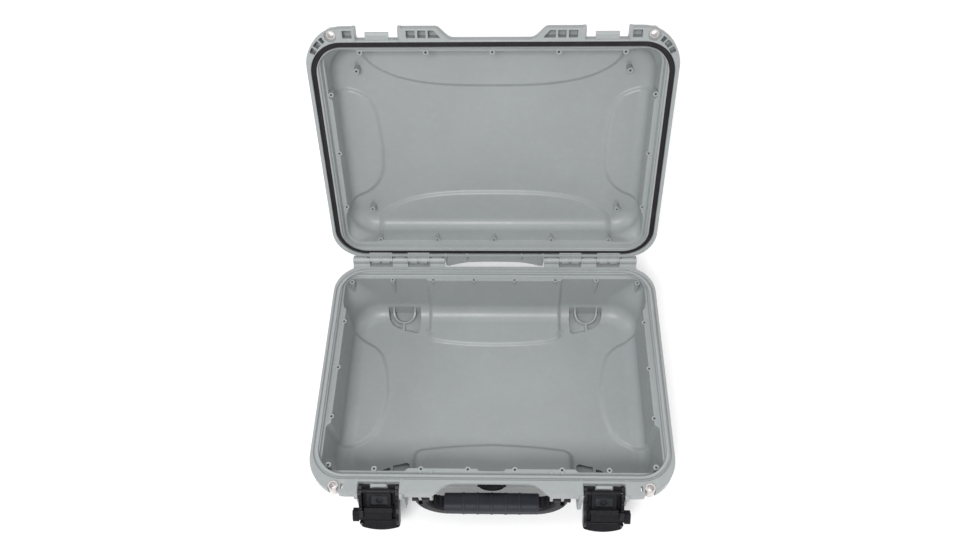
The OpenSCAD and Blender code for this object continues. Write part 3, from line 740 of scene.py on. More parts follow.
def drill(x, y, z, r, depth, sgn=-1):
    n = 24
    zz = sorted((z, z + sgn * depth))
    return prism(circ(x, y, r, n), zz[0], zz[1])


def pocket_cuts():
    """the foot pockets: a U-shaped groove round a standing U wall, and the space inside the U"""
    out = []
    for sx in (-1, 1):
        for sy in (-1, 1):
            T = lambda p: [(sx * 139 + a * sx, sy * (138 + b)) for a, b in p]
            # local: +b towards the wall, +a outwards
            inner = [(-15, 4), (-15, 0)] + [(15 * math.cos(rad(a)), 15 * math.sin(rad(a))) for a in range(188, 353, 12)] + [(15, 0), (15, 4)]
            out.append(T(inner))
            A = np.linspace(275, 360, 9)
            o = [(17.4 * math.cos(rad(a)), 17.4 * math.sin(rad(a))) for a in A] + [(17.4, 4), (24.2, 4)] + \
                [(24.4 * math.cos(rad(a)), 27.5 * math.sin(rad(a))) for a in A[::-1]]
            out.append(T(rounded2(o, 0.8, 2)))
            A = np.linspace(180, 265, 9)
            lobe = [(-17.4, 4)] + [(17.4 * math.cos(rad(a)), 17.4 * math.sin(rad(a))) for a in A] + \
                   [(-1.5, -30.5), (-8, -31.5), (-20, -34.5), (-24.2, -33), (-25.6, -10), (-25.2, 4)]
            out.append(T(rounded2(lobe, [0.8] + [0.4] * 9 + [1.2, 2, 3.5, 3.5, 3, 0.8], 3)))
    return out


def base_details():
    """fins, lugs, stops, padlock tabs, valve seat and hinge knuckles of the base"""
    ps = []
    for s in (-1, 1):
        for t in (-1, 1):
            low = 46 if s * t > 0 else 30
            low = 46 if (s > 0) == (t > 0) else 30
            x0 = s * 140.75 + (25.85 if t > 0 else -30.5)
            x1 = s * 140.75 + (30.5 if t > 0 else -25.85)
            out = [(-149, low - 3), (-170, low), (-177.2, low + 7), (-178, low + 14), (-177.9, 78)] + \
                  [(-176.5 + 6.2 * math.cos(rad(a)), 86 + 6.2 * math.sin(rad(a))) for a in (230, 205, 180, 155, 130, 110)] + [(-176, 95.4), (-158, 95.4), (-149, 86)]
            o = prism(out, x0, x1, "x", 0.9, 3)
            ps.append(o)
        # stop lug behind the lever, with its bright bar
        ps.append(prism(rbox(s * 140.75 - 9.9, s * 140.75 + 9.9, -168.9, -165.3, 0.8, 3), 90.2, 92.8, "z", 0.5, 2))
        ps.append(prism(rbox(s * 140.75 - 8.4, s * 140.75 + 8.4, -167.4, -160, 0.8, 3), 84, 90.6, "z", 0.3, 1))
        # collar of the padlock hole, open at the front where the sleeve shows
        col = prism(circ(s * 197.3, -169.3, 9.2, 48), 82.2, 95.2, "z", 0.8, 2)
        boolean(col, join("c", [prism(circ(s * 197.3, -169.3, 6.5, 40), 80, 100), prism(rbox(s * 197.3 - 7.4, s * 197.3 + 7.4, -182, -171.0, 0.3, 1), 80, 100)]))
        ps.append(col)
        for x in (76, 90):
            out = [(-146, 76), (-163, 68)] + [(-170 + 7 * math.cos(rad(a)), 68 + 7 * math.sin(rad(a))) for a in range(-10, -191, -18)] + [(-177, 92), (-146, 92)]
            ps.append(prism(out[::-1], s * x - 2, s * x + 2, "x", 0.6, 2))
    # valve seat
    ps.append(turned(rounded([(8.4, 0), (19, 0), (19, 8.2), (8.4, 8.2)], 0.8), 64,
                     lambda v: np.stack([v[:, 0], -141 - v[:, 2], 54 + v[:, 1]], 1)))
    # hinge knuckles
    for s in (-1, 1):
        for a, b in ((183.3, 208), (127.3, 149.7), (73, 94.7)):
            x0, x1 = sorted((s * a, s * b))
            c = [(HY + 6.2 * math.cos(rad(t)), HZ + 6.2 * math.sin(rad(t))) for t in range(-28, 235, 12)]
            out = [(159, 88), (164.5, 88), (178.5, 98.2)] + c + [(HY - 5.9, 99), (165, 96.0), (159, 96.0)]
            # square windows on top of the barrel at both ends
            cut_ = [(y, HZ + 2.6) if y > HY - 0.5 and z > HZ + 2.6 else (y, z) for y, z in out]
            for p, q, o_ in ((x0, x0 + 3.6, cut_), (x0 + 3.6, x1 - 3.6, out), (x1 - 3.6, x1, cut_)):
                ps.append(prism(o_, p, q, "x", 0.3, 2, angle=25))
            # web ribs under the knuckle
            for q in np.linspace(x0 + 3, x1 - 3, 3):
                ps.append(prism([(158, 70), (163, 74), (171, 95), (158, 95)], q - 1.1, q + 1.1, "x", 0.4, 1))
        for a, b in ((95, 127), (150, 183)):
            # apron that closes the gap under the lid's knuckles
            x0, x1 = sorted((s * (a - 0.4), s * (b + 0.4)))
            ps.append(prism([(159, 86), (166, 86), (173, 90.2), (173.4, 93.2), (172, 93.7), (166.6, 93.9), (164.6, 95.2), (159, 95.4)], x0, x1, "x", 0.3, 1))
    return ps


base_vis = join("base_shell_visual", [build_base()] + base_details())
base_vis.data.materials.append(SHELL)
finish_mesh(base_vis, 32)
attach(base_vis, "base"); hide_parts("base_shell")

# ---------------------------------------------------------------- lid shell (closed coordinates, then opened)
def lid_panels():
    arc = catmull([(0, 84.3), (38, 84.8), (61, 85.8), (80, 87.6), (98, 90.2), (112, 93.2), (127, 97.6), (140, 103.2), (152, 110),
                   (161, 117.5), (166.5, 125), (169.3, 134), (170, 146), (170, 200)], 3)
    top = np.concatenate([mirror_x(arc), arc[1:]])
    side = catmull([(300, -80.5), (230, -80), (211.2, -79.4), (199.5, -77), (188.5, -75.3), (172.8, -67.9), (164.3, -57.5), (159, -38.8), (156.2, -11), (155.3, 9.7),
                    (156.4, 29.5), (158.9, 49.1), (168.1, 68.7), (183.5, 83.1), (202, 90.7), (212.5, 97), (230, 100), (300, 100)], 3)
    return top, top * np.array([1.004, -1]) + np.array([0, 2.8]), side


LT, LBK, LS = lid_panels()


def lid_relief(P, wallness):
    ax = np.stack([np.abs(P[:, 0]), P[:, 1]], 1)
    w = 6.0
    m = smooth01(sdf(P, LT) / w + 0.5) + smooth01(sdf(P, LBK) / w + 0.5)
    ms = smooth01(sdf(ax, LS) / w + 0.5)
    return np.maximum(m * lerp(3.9, 2.6, wallness), ms * lerp(3.8, 3.9, wallness))


def build_lid():
    plan = Plan(HANDLE_L)
    OUT, ON = plan.outline()
    BAY = plan.bay()
    loops = []

    def add(P, z):
        z = np.full(len(P), float(z)) if np.isscalar(z) else z
        loops.append(np.concatenate([P, z[:, None]], 1))

    ROOF, FR = 147.8, 19.0
    HX, HYY = 212.0, 147.0
    ins0 = 2 + FR
    P0, _ = plan.loop(HX - ins0, HYY - ins0, HYY - ins0, 21, 21)
    for k in np.linspace(0.62, 1.0, 40)[:-1]:
        P = P0 * k
        add(P, ROOF - lid_relief(P, 0.0))
    for i in range(0, 14):
        f = rad(90 - 90 * i / 13)
        ins = 2 + FR * (1 - math.cos(f))
        r = 37 - 16 * (1 - math.cos(f))
        P, Nn = plan.loop(HX - ins, HYY - ins, HYY - ins, r, r)
        d = lid_relief(P, math.cos(f))
        add(P - Nn * (d * math.cos(f))[:, None], ROOF - FR * (1 - math.sin(f)) - d * math.sin(f))
    for z in (126, 123, 120, 117, 114, 111.5, 110):
        t = (z - 108.5) / 20.3
        P, Nn = plan.loop(HX - 2 * t, HYY - 2 * t, HYY - 2 * t, lerp(19, 37, smooth01(t)), lerp(19, 37, smooth01(t)))
        add(P - Nn * lid_relief(P, 1.0)[:, None], z)
    P, Nn = plan.loop(HX, HYY, HYY, 19, 19)
    d = lid_relief(P, 1.0)
    add(P - Nn * (d - 0.3)[:, None], 108.8)
    add(P - Nn * (d - 1.0)[:, None], 108.5)
    for hx, y, r, z in ((213.9, 149.3, 21, 108.5), (214.4, 149.8, 21.5, 108.2), (215.6, 151.2, 23, 101.0), (215.9, 151.5, 23.5, 100.4), (216.9, 152.3, 25, 100.1),
                        (217.3, 152.6, 26, 99.6), (217.9, 152.9, 28, 97.2), (218.3, 153.1, 30, 96.6), (218.9, 153.3, 32.5, 96.35), (219.9, 153.5, 34.0, 96.35),
                        (220.4, 153.8, 34.3, 96.8),
                        (220.5, 153.9, 34.5, 98.0), (220.5, 153.9, 34.5, 102.0), (227.5, 160.9, 41.5, 102.0), (227.5, 160.9, 41.5, 98.0), (227.6, 161.0, 41.6, 96.8),
                        (228.2, 161.4, 42.0, 96.35)):
        P, _ = plan.loop(hx, y, y, r, r)
        add(P, z)
    ins = lambda d: OUT - ON * d
    add(ins(1.2), 96.35)
    add(ins(0.4), 96.6)
    add(ins(0.0), 97.5)
    add(ins(0.0), 103.0)
    add(ins(0.0), 106.8)
    add(ins(0.5), 108.0)
    add(ins(1.5), 108.5)
    for hx, y, r, z in ((219.5, 154.8, 27, 108.7), (218.3, 153.9, 26, 109.4), (217.2, 152.7, 25.2, 112.0)):
        P, Nn = plan.loop(hx, y, y, r, r)
        add(P, z)
    for z in (114.5, 118, 121, 124, 127):
        t = (z - 108.5) / 20.3
        e = 3.2
        P, Nn = plan.loop(HX - 2 * t + e, HYY - 2 * t + e, HYY - 2 * t + e, lerp(19, 37, smooth01(t)) + e, lerp(19, 37, smooth01(t)) + e)
        add(P - Nn * (lid_relief(P, 1.0) * 0.8)[:, None], z)
    FO = FR + 3.2
    for i in range(0, 12):
        f = rad(90 * i / 11)
        i_ = 2 - 3.2 + FO * (1 - math.cos(f))
        r = 40 - 16 * (1 - math.cos(f))
        P, Nn = plan.loop(HX - i_, HYY - i_, HYY - i_, r, r)
        d = lid_relief(P, math.cos(f)) * 0.8
        add(P - Nn * (d * math.cos(f))[:, None], 151 - FO * (1 - math.sin(f)) - d * math.sin(f))
    Pb = P0
    for k in (0.985, 0.965, 0.94, 0.91, 0.88, 0.85, 0.82, 0.79, 0.76, 0.73, 0.70, 0.67, 0.64, 0.62):
        P = Pb * k
        add(P, 151 - lid_relief(P, 0.0) * 0.8)
    tub = loft("lid_tub", loops, True, True)

    extra, cut = [], []
    for x in (-166, -83, 0, 83, 166):
        for s in (-1, 1):
            extra.append(boss(x, s * 143.0, 3.5, 0, s, 108.5, 1, 26, 3.0))
            cut.append(drill(x, s * 143.0, 107, 1.6, 11.5, 1))
    for y in (-86, 0, 86):
        for s in (-1, 1):
            extra.append(boss(s * 209, y, 3.5, s, 0, 108.5, 1, 26, 3.0))
            cut.append(drill(s * 209, y, 107, 1.6, 11.5, 1))
    for sx in (-1, 1):
        for sy in (-1, 1):
            x, y = sx * 177.8, sy * 106.8
            extra.append(prism(circ(x, y, 4.0, 36), 134.5, 150, "z", 0.35, 2, only=lambda e: max(v.co.z for v in e.verts) < 135))
            cut.append(drill(x, y, 133, 1.6, 12.0, 1))
            # window on the hinge-side-away face of each post foot
            cut.append(prism(rbox(x - 2.6, x + 2.6, y - 9.2, y - 4.8, 0.6, 2), 144.2, 149.0))
    tub = boolean(tub, join("x", extra), "UNION")
    # cells under the skirt
    for s in (-1, 1):
        m = lambda p: [(s * a, b) for a, b in p]
        for x0, x1 in ((169.8, 182.5), (93.5, 104.5), (80.5, 90.5)):
            cut.append(prism(m(rbox(x0, x1, -175.8, -166.2, 0.8, 2)), 90, 106.5))
        cut.append(prism(m(rounded2([(77.8, -175.8), (70.8, -175.8), (62.5, -166.2), (77.8, -166.2)], 0.8, 2)), 90, 106.5))
        cx, cy = 182.5, -128
        for a0, a1 in ((-57, -50.5), (-48, -37), (-34.5, -25)):
            q = [(cx + 47.6 * math.cos(rad(a)), cy + 47.6 * math.sin(rad(a))) for a in np.linspace(a0, a1, 6)] + \
                [(cx + 40.6 * math.cos(rad(a)), cy + 40.6 * math.sin(rad(a))) for a in np.linspace(a1, a0, 6)]
            cut.append(prism(m(q), 90, 106.5))
        cut.append(turned([(0, 90), (7.6, 90), (7.6, 99.2), (5.9, 99.2), (5.9, 115), (0, 115)], 40, lambda v, s=s: v + np.array([s * 197.3, -169.3, 0]), closed=False))
        cut.append(prism(rbox(s * 140.75 - 36, s * 140.75 + 36, -186, -167.8, 0.5, 1), 106.9, 112))
    tub = boolean(tub, join("c", cut), "DIFFERENCE")
    return tub


def closed_(v):
    """inverse of opened"""
    v = np.asarray(v, float)
    y, z = v[:, 1] - HY, v[:, 2] - HZ
    c, s = math.cos(OPEN), math.sin(OPEN)
    return np.stack([v[:, 0], y * c - z * s + HY, y * s + z * c + HZ], 1)


def lid_details():
    ps = []
    # web behind the hinge side of the rim, between the knuckles, with two ribs
    e = [(0, 178.4), (18, 178.6), (38, 179.4), (50, 181.4), (60, 184.0), (66, 185.6), (71.6, 186.0)]
    ps.append(prism([(-72, 160)] + [(-x, y) for x, y in e[::-1]] + e[1:] + [(72, 160)], 102.6, 105.4, "z", 0.6, 2, angle=30))
    for x in (-71, -39.9, 39.9, 71):
        ps.append(prism([(160, 97.2), (164.5, 97.0), (176.5 if abs(x) < 50 else 182, 102.8), (160, 103)], x - 1.2, x + 1.2, "x", 0.4, 1))
    for s in (-1, 1):
        for t in (-1, 1):
            x0 = s * 140.75 + (25.85 if t > 0 else -30.5)
            out = [(-163.4, 96.5), (-177.2, 96.5), (-179.4, 99.2), (-179.5, 104.6), (-178.2, 106.4), (-174, 106.8), (-168, 107), (-163.4, 109)]
            ps.append(prism(out, x0, x0 + 4.65, "x", 0.9, 3))
        out = [(-162, 97.6), (-170, 97.6), (-172.6, 99.2), (-172.6, 101.4), (-170.6, 101.4), (-170.6, 100.4), (-162, 100.4)]
        ps.append(prism(out, s * 140.75 - 14.5, s * 140.75 + 14.5, "x", 0.4, 2))
        for a, b in ((95, 127), (150, 183)):
            x0, x1 = sorted((s * a, s * b))
            c = [(HY + 6.2 * math.cos(rad(t)), HZ + 6.2 * math.sin(rad(t))) for t in range(36, -226, -12)]
            out = [(159, 99), (159, 107), (164.5, 107), (176.5, 105.6)] + c + [(HY - 5.6, 97.6), (164, 97.4)]
            # square windows low on the barrel, at both ends and in the middle
            cs, sn = math.cos(OPEN), math.sin(OPEN)
            cut_ = []
            for y, z in out:
                a_, b_ = -(y - HY) * cs - (z - HZ) * sn, -(y - HY) * sn + (z - HZ) * cs
                if a_ > 2.6 and b_ < 1.6 and (y - HY) ** 2 + (z - HZ) ** 2 < 39:
                    y, z = y + cs * (a_ - 2.6), z + sn * (a_ - 2.6)
                cut_.append((y, z))
            xm = (x0 + x1) / 2
            for p, q, o_ in ((x0, x0 + 3.4, cut_), (x0 + 3.4, xm - 1.9, out), (xm - 1.9, xm + 1.9, cut_), (xm + 1.9, x1 - 3.4, out), (x1 - 3.4, x1, cut_)):
                ps.append(prism(o_, p, q, "x", 0.3, 2, angle=25))
            for q in np.linspace(x0 + 3, x1 - 3, 4):
                ps.append(prism([(158, 107), (171, 106.4), (163, 114), (156, 122)], q - 1.1, q + 1.1, "x", 0.4, 1))
    return ps


lid_vis = join("lid_shell_visual", [build_lid()] + lid_details())
co_ = np.array([v.co[:] for v in lid_vis.data.vertices]) / MM
lid_vis.data.vertices.foreach_set("co", (opened(co_) * MM).ravel())
lid_vis.data.update()
lid_vis.data.materials.append(SHELL)
finish_mesh(lid_vis, 32)
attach(lid_vis, "lid"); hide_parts("lid_shell")


# gasket: a soft round-topped cord with its two side lips
def gasket():
    plan = Plan(HANDLE_L)
    prof = [(3.28, 101.9), (3.28, 99.9), (3.0, 99.2), (2.3, 98.98), (1.4, 98.94), (0.8, 99.1), (-0.8, 99.1), (-1.4, 98.94), (-2.3, 98.98), (-3.0, 99.2), (-3.28, 99.9), (-3.28, 101.9)]
    rows = []
    for d, z in prof:
        P, _ = plan.loop(224 + d, 157.4 + d, 157.4 + d, 38 + d, 38 + d)
        rows.append(np.concatenate([P, np.full((len(P), 1), z)], 1))
    n = len(rows[0])
    F = []
    m = len(rows)
    for k in range(m):
        a, b = k * n, ((k + 1) % m) * n
        for i in range(n):
            j = (i + 1) % n
            F.append((a + i, a + j, b + j, b + i))
    o = raw("gasket_visual", np.concatenate(rows), F, opened)
    fix_normals(o)
    o.data.materials.append(FOAM)
    finish_mesh(o, 50)
    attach(o, "lid"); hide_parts("lid_gasket")


gasket()

# ---------------------------------------------------------------- latches
P0Y, P0Z, TH = -176.5, 86.0, rad(141)
LW = 25.2


def latch_xf(s):
    """local (x, y = -n, z = t) to the row frame, opened as drawn"""
    def f(v):
        v = np.asarray(v, float)
        x = v[:, 0] * (-1 if s > 0 else 1) + s * 140.75
        c, sn = math.cos(TH), math.sin(TH)
        return np.stack([x, v[:, 1] * c - v[:, 2] * sn + P0Y, v[:, 1] * sn + v[:, 2] * c + P0Z], 1)
    return f


def tn(x0, x1, pts, bev=0.5, seg=2, **kw):
    return prism([(-n, t) for n, t in pts], x0, x1, "x", bev, seg, **kw)


def place(o, f):
    co = np.array([v.co[:] for v in o.data.vertices]) / MM
    o.data.vertices.foreach_set("co", (f(co) * MM).ravel())
    fix_normals(o)
    o.data.update()
    return o


def piece(name, parts, mat, body, node, f=None, angle=32):
    o = join(name, parts)
    if f is not None:
        place(o, f)
    o.data.materials.append(mat)
    finish_mesh(o, angle)
    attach(o, body)
    if node:
        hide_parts(node)
    return o


def arcp(cx, cy, r, a0, a1, n=8):
    return [(cx + r * math.cos(rad(a)), cy + r * math.sin(rad(a))) for a in np.linspace(a0, a1, n)]


def lever(s):
    wall = arcp(0, -5, 3.4, 190, 340, 8) + arcp(0, 0, 5.2, -30, 0, 3) + [(7.4, 1.6)] + rounded2([(10, 4), (10, 44), (3, 46), (-3, 40), (-6, 34), (-6, 24), (-3, 18), (-4.6, 8)], [2, 2, 2, 3, 2, 2, 2, 2], 4) + arcp(0, 0, 5.2, 150, 200, 4)
    out = []
    for k, (a, b) in enumerate(((-LW, -LW + 3.9), (LW - 3.9, LW))):
        o = tn(a, b, wall, 0.6, 2)
        c = [turned([(0, -40), (2.05, -40), (2.05, 40), (0, 40)], 28, lambda v: np.stack([v[:, 2], v[:, 0], v[:, 1]], 1), closed=False),
             turned([(0, -40), (1.55, -40), (1.55, 40), (0, 40)], 28, lambda v: np.stack([v[:, 2], v[:, 0], v[:, 1] - 5.0], 1), closed=False)]
        if k == 0:
            c.append(tn(-LW - 2, -LW + 6, rounded2([(-7.4, 19.9), (5.4, 19.9), (5.4, 38.4), (-7.4, 38.4)], 0.8, 2), 0))
        boolean(o, join("c", c))
        out.append(o)
    # cover with a shallow waist, stiffening ribs inside
    out.append(tn(-LW + 0.6, LW - 0.6, rounded2([(7.0, 2.2), (8.4, 2.4), (10, 4.6), (10, 42), (6.6, 42), (6.6, 5)], [0.5, 0.8, 1.2, 0.5, 0.5, 0.8], 3), 0.4, 2))
    for x in (-14.5, 14.5):
        out.append(tn(x - 0.9, x + 0.9, rounded2([(2.6, 3), (7.4, 3), (7.4, 20.2), (3.6, 20.2)], 0.6, 2), 0.3, 1))
    # heel web below the pivot, open in the middle for the stop lug
    for a, b in ((-LW + 3.2, -11.2), (11.2, LW - 3.2)):
        out.append(tn(a, b, rounded2([(2.2, -12.2), (4.6, -12.2), (4.7, -6.6), (6.6, -1.2), (4.0, -1.2), (2.4, -6.4)], [0.8, 0.8, 0.6, 0.6, 0.4, 0.6], 3), 0.4, 2))
    for a, b in ((-LW, -LW + 3.9), (LW - 3.9, LW)):
        out.append(tn(a, b, rounded2([(1.0, -12.2), (4.8, -12.2), (5.6, -2), (4.0, 4), (-2, 0), (-1.5, -7)], [1.0, 1.0, 0.5, 0.5, 0.5, 0.5], 3), 0.5, 2))
    # pull tab with rounded end
    tab = [(-LW + 0.2, 37.6), (-LW + 0.1, 46)] + [(-LW + 1.0, 48.2)] + [(x, -16 + math.sqrt(max(69.4 ** 2 - x * x, 0))) for x in np.linspace(-LW + 2.6, LW - 2.6, 19)] + [(LW - 1.0, 48.2), (LW - 0.1, 46), (LW - 0.2, 37.6)]
    t = prism([(x, z) for x, z in tab][::-1], -9.9, -3.2, "y", 1.5, 4)
    out.append(t)
    # raised edge across the tab, as a thumb stop
    for k in range(3):
        z = 43.2 + k * 2.5
        out.append(prism(rbox(-16, 16, z - 0.5, z + 0.5, 0.45, 2), -10.0, -9.2, "y", 0.25, 1))
    o = piece(f"lever_{'right' if s > 0 else 'left'}_visual", out, BLACK, f"lever_{'right' if s > 0 else 'left'}", f"lever_{'right' if s > 0 else 'left'}", latch_xf(s))
    # socket plate in the claw window, a lighter moulding with a round socket
    p = tn(-12, 12, rounded2([(3.2, 2.6), (6.9, 2.6), (6.9, 19), (3.2, 19)], 0.5, 2), 0.5, 2)
    boolean(p, turned([(0, 0), (4.3, 0), (4.3, 3.0), (5.6, 3.0), (5.6, 20), (0, 20)], 40, lambda v: np.stack([v[:, 0], -6.4 + v[:, 2] * 1.0, v[:, 1] + 10.4], 1), closed=False))
    ring = turned(rounded([(2.1, 0), (3.3, 0), (3.3, 1.7), (2.1, 1.7)], 0.3), 32, lambda v: np.stack([v[:, 0], -6.5 + v[:, 2], v[:, 1] + 10.4], 1))
    frame_ = []
    for x0, x1, t0, t1 in ((-12, -9.9, 2.8, 18.8), (9.9, 12, 2.8, 18.8), (-12, 12, 2.8, 4.2), (-12, 12, 17.2, 18.8)):
        frame_.append(prism(rbox(x0, x1, t0, t1, 0.5, 2), -3.5, -2.5, "y", 0.3, 1))
    piece(f"latch_socket_{'right' if s > 0 else 'left'}", [p, ring] + frame_, PLATE, f"lever_{'right' if s > 0 else 'left'}", f"lever_{'right' if s > 0 else 'left'}", latch_xf(s))


def claw(s):
    n = "right" if s > 0 else "left"
    plate = prism(rbox(-15.4, 15.4, -5.4, 19.6, 1.2, 3), -1.2, 2.4, "y", 0.5, 2)
    boolean(plate, prism(rbox(-11, 11, 1.2, 15.6, 1.4, 3), -6, 6, "y"))
    rod = lambda x0, x1, r: turned(rounded([(1.56, x0), (r, x0), (r, x1), (1.56, x1)], 0.4), 40, lambda v: np.stack([v[:, 2], v[:, 0], v[:, 1] - 5.0], 1))
    hook = tn(-17.6, 17.6, rounded2([(1.2, 15.9), (1.2, 20.4), (-0.8, 20.9), (-8, 20.9), (-8, 15), (-6.3, 15), (-6.3, 16.1), (-2.4, 16.1)], [0.6, 0.8, 0.6, 1.1, 0.5, 0.4, 0.5, 0.5], 3), 0.5, 2)
    # slit so that the claw clears its own pin
    boolean(plate, turned([(0, -40), (1.56, -40), (1.56, 40), (0, 40)], 28, lambda v: np.stack([v[:, 2], v[:, 0], v[:, 1] - 5.0], 1), closed=False))
    piece(f"claw_{n}_visual", [plate, rod(-15.4, 15.4, 3.5), rod(-21.0, -15.45, 2.8), rod(15.45, 21.0, 2.8), hook], BLACK, f"claw_{n}", f"claw_{n}", latch_xf(s))


def slide(s):
    n = "right" if s > 0 else "left"
    body = tn(-28, 15.9, rounded2([(-4, 21.7), (5, 21.7), (5, 35.8), (-2, 35.8), (-4, 34)], [1.0, 0.8, 0.8, 1.2, 1.2], 3), 0.7, 3)
    knob = tn(-33.4, -25.9, rounded2([(-5.4, 21.5), (5, 21.5), (5, 37.2), (-3.0, 37.2), (-5.4, 35.0)], [1.6, 1.4, 1.4, 2.2, 2.2], 4), 0.9, 3)
    boolean(body, prism(rbox(-4, 0, 27, 30, 0.2, 1), -5.3, -2.2, "y"))
    finger = tn(-24.9, -19.1, rounded2([(-9.8, 17.5), (-9.8, 27), (-3.9, 31), (-3.9, 21.9), (-8.3, 21.9), (-8.3, 17.5)], 0.5, 2), 0.3, 2)
    ridges = [tn(-32.4 + i * 1.7, -31.5 + i * 1.7, rounded2([(-6.1, 22.2), (-4, 22.2), (-4, 35), (-6.1, 34.2)], 0.4, 2), 0.3, 2) for i in range(4)]
    ridges += [tn(-32.7 + i * 1.9, -31.5 + i * 1.9, rounded2([(4.5, 22.2), (5.25, 22.2), (5.25, 36.0), (4.5, 36.0)], 0.3, 1), 0.2, 1) for i in range(3)]
    # lip along the outer edge of the bar
    ridges.append(tn(-20.5, 15.9, rounded2([(-4.9, 34.3), (-4.9, 35.5), (-2.6, 36.5), (-2.6, 34.3)], 0.4, 3), 0.4, 2))
    piece(f"slide_lock_{n}_visual", [body, knob, finger] + ridges, BLACK, f"slide_{n}", f"slide_lock_{n}", latch_xf(s))


for s_ in (-1, 1):
    lever(s_)
    claw(s_)
    slide(s_)

# ---------------------------------------------------------------- handle
HPY, HPZ, HBAR = -170.0, 68.0, 37.0


def sweep(sections, caps=True):
    n = len(sections[0])
    V = np.concatenate([np.asarray(x, float) for x in sections])
    F = []
    for k in range(len(sections) - 1):
        for i in range(n):
            j = (i + 1) % n
            F.append((k * n + i, k * n + j, (k + 1) * n + j, (k + 1) * n + i))
    if caps:
        F.append(list(range(n))[::-1])
        F.append(list(range((len(sections) - 1) * n, len(sections) * n)))
    o = raw("sweep", V, F)
    fix_normals(o)
    return o


def handle():
    parts = []
    for s in (-1, 1):
        secs = []
        # straight run under the grip's end, then the bow up to the pivot
        path = [(x, HBAR, 0.0) for x in (54, 58)]
        R = 31.0
        path += [(58 + R * math.sin(a), HPZ - R * math.cos(a), a) for a in np.linspace(0.05, rad(90), 22)]
        for x, z, a in path:
            t = a / rad(90)
            hh = lerp(8.9, 8.6, t)      # half size in the plane of the handle
            hf = lerp(12.0, 7.9, t ** 1.3)   # depth towards the front
            hd = 8.0                    # depth towards the wall
            dx, dz = math.sin(a), -math.cos(a)   # in-plane outward direction
            ring = []
            for u, v in rbox(-hh, hh, -hf, hd, 4.2, 5):
                ring.append((s * (x + u * dx), HPY + v, z + u * dz))
            secs.append(ring)
        bow = sweep(secs)
        lug = turned(rounded([(2.56, 78.5), (8, 78.5), (8, 100.4), (2.56, 100.4)], 0.9), 48, lambda v, s=s: np.stack([s * v[:, 2], HPY + v[:, 0], HPZ + v[:, 1]], 1))
        cut = [turned([(0, 87.55), (13.6, 87.55), (13.6, 92.45), (0, 92.45)], 48, lambda v, s=s: np.stack([s * v[:, 2], HPY + v[:, 0], HPZ + v[:, 1]], 1), closed=False)]
        boolean(lug, cut[0], keep=True)
        inner = turned([(0, 66), (8.1, 66), (8.1, 78.4), (0, 78.4)], 40, lambda v, s=s: np.stack([s * v[:, 2], HPY + v[:, 0], HPZ + v[:, 1]], 1), closed=False)
        pin = turned([(0, 92.6), (2.56, 92.6), (2.56, 110), (0, 110)], 28, lambda v, s=s: np.stack([s * v[:, 2], HPY + v[:, 0], HPZ + v[:, 1]], 1), closed=False)
        pin2 = turned([(0, 78.5), (2.56, 78.5), (2.56, 87.4), (0, 87.4)], 28, lambda v, s=s: np.stack([s * v[:, 2], HPY + v[:, 0], HPZ + v[:, 1]], 1), closed=False)
        boolean(bow, join("c", [cut[0], inner, pin, pin2]))
        parts += [bow, lug]
        # web ribs on the inner side of the bow
        for a in (20, 40, 60):
            x, z = 58 + 22.6 * math.sin(rad(a)), HPZ - 22.6 * math.cos(rad(a))
            parts.append(prism([(s * (x + p), z + q) for p, q in rbox(-1.2, 1.2, -1.2, 1.2, 0.5, 2)], HPY - 6.5, HPY + 6.5, "y", 0.3, 1))
    core = turned([(0, -61.9), (8.0, -61.9), (8.0, 61.9), (0, 61.9)], 40, lambda v: np.stack([v[:, 2], HPY + v[:, 0], HBAR + v[:, 1]], 1), closed=False)
    parts.append(core)
    piece("handle_core_visual", parts, BLACK, "handle", "handle_core")
    # grip: soft, ribbed across its middle, with smooth shoulders
    secs = []
    xs = sorted(set(np.round(np.concatenate([np.linspace(-61.7, -58, 7), np.arange(-58, 58.1, 0.7), np.linspace(58, 61.7, 7)]), 3)))
    for x in xs:
        e = 61.8 - abs(x)
        k = -1.9 * (1 - math.sqrt(max(0.0, 1 - (1 - min(e, 2.2) / 2.2) ** 2)))
        d = abs(((x + 9.1) % 18.2) - 9.1)
        groove = -0.42 + (0.5 * (1 - smooth01((d - 0.9) / 0.9)) if abs(x) < 46 else 0.0)
        belly = 0.25 * (1 - (x / 62) ** 2) - 0.25
        g = k + groove + belly
        ring = []
        for u, v in rbox(-13.1 - g, 13.1 + g, -12.2 - g, 12.2 + g, 8.8 + g * 0.5, 9):
            ring.append((x, HPY + u, HBAR + v))
        secs.append(ring)
    g = sweep(secs)
    piece("handle_grip_visual", [g], GRIP, "handle", "handle_grip", angle=50)


handle()


# ---------------------------------------------------------------- valve
def on_valve(v):
    v = np.asarray(v, float)
    return np.stack([v[:, 0], -149.2 - v[:, 2], 54 + v[:, 1]], 1)


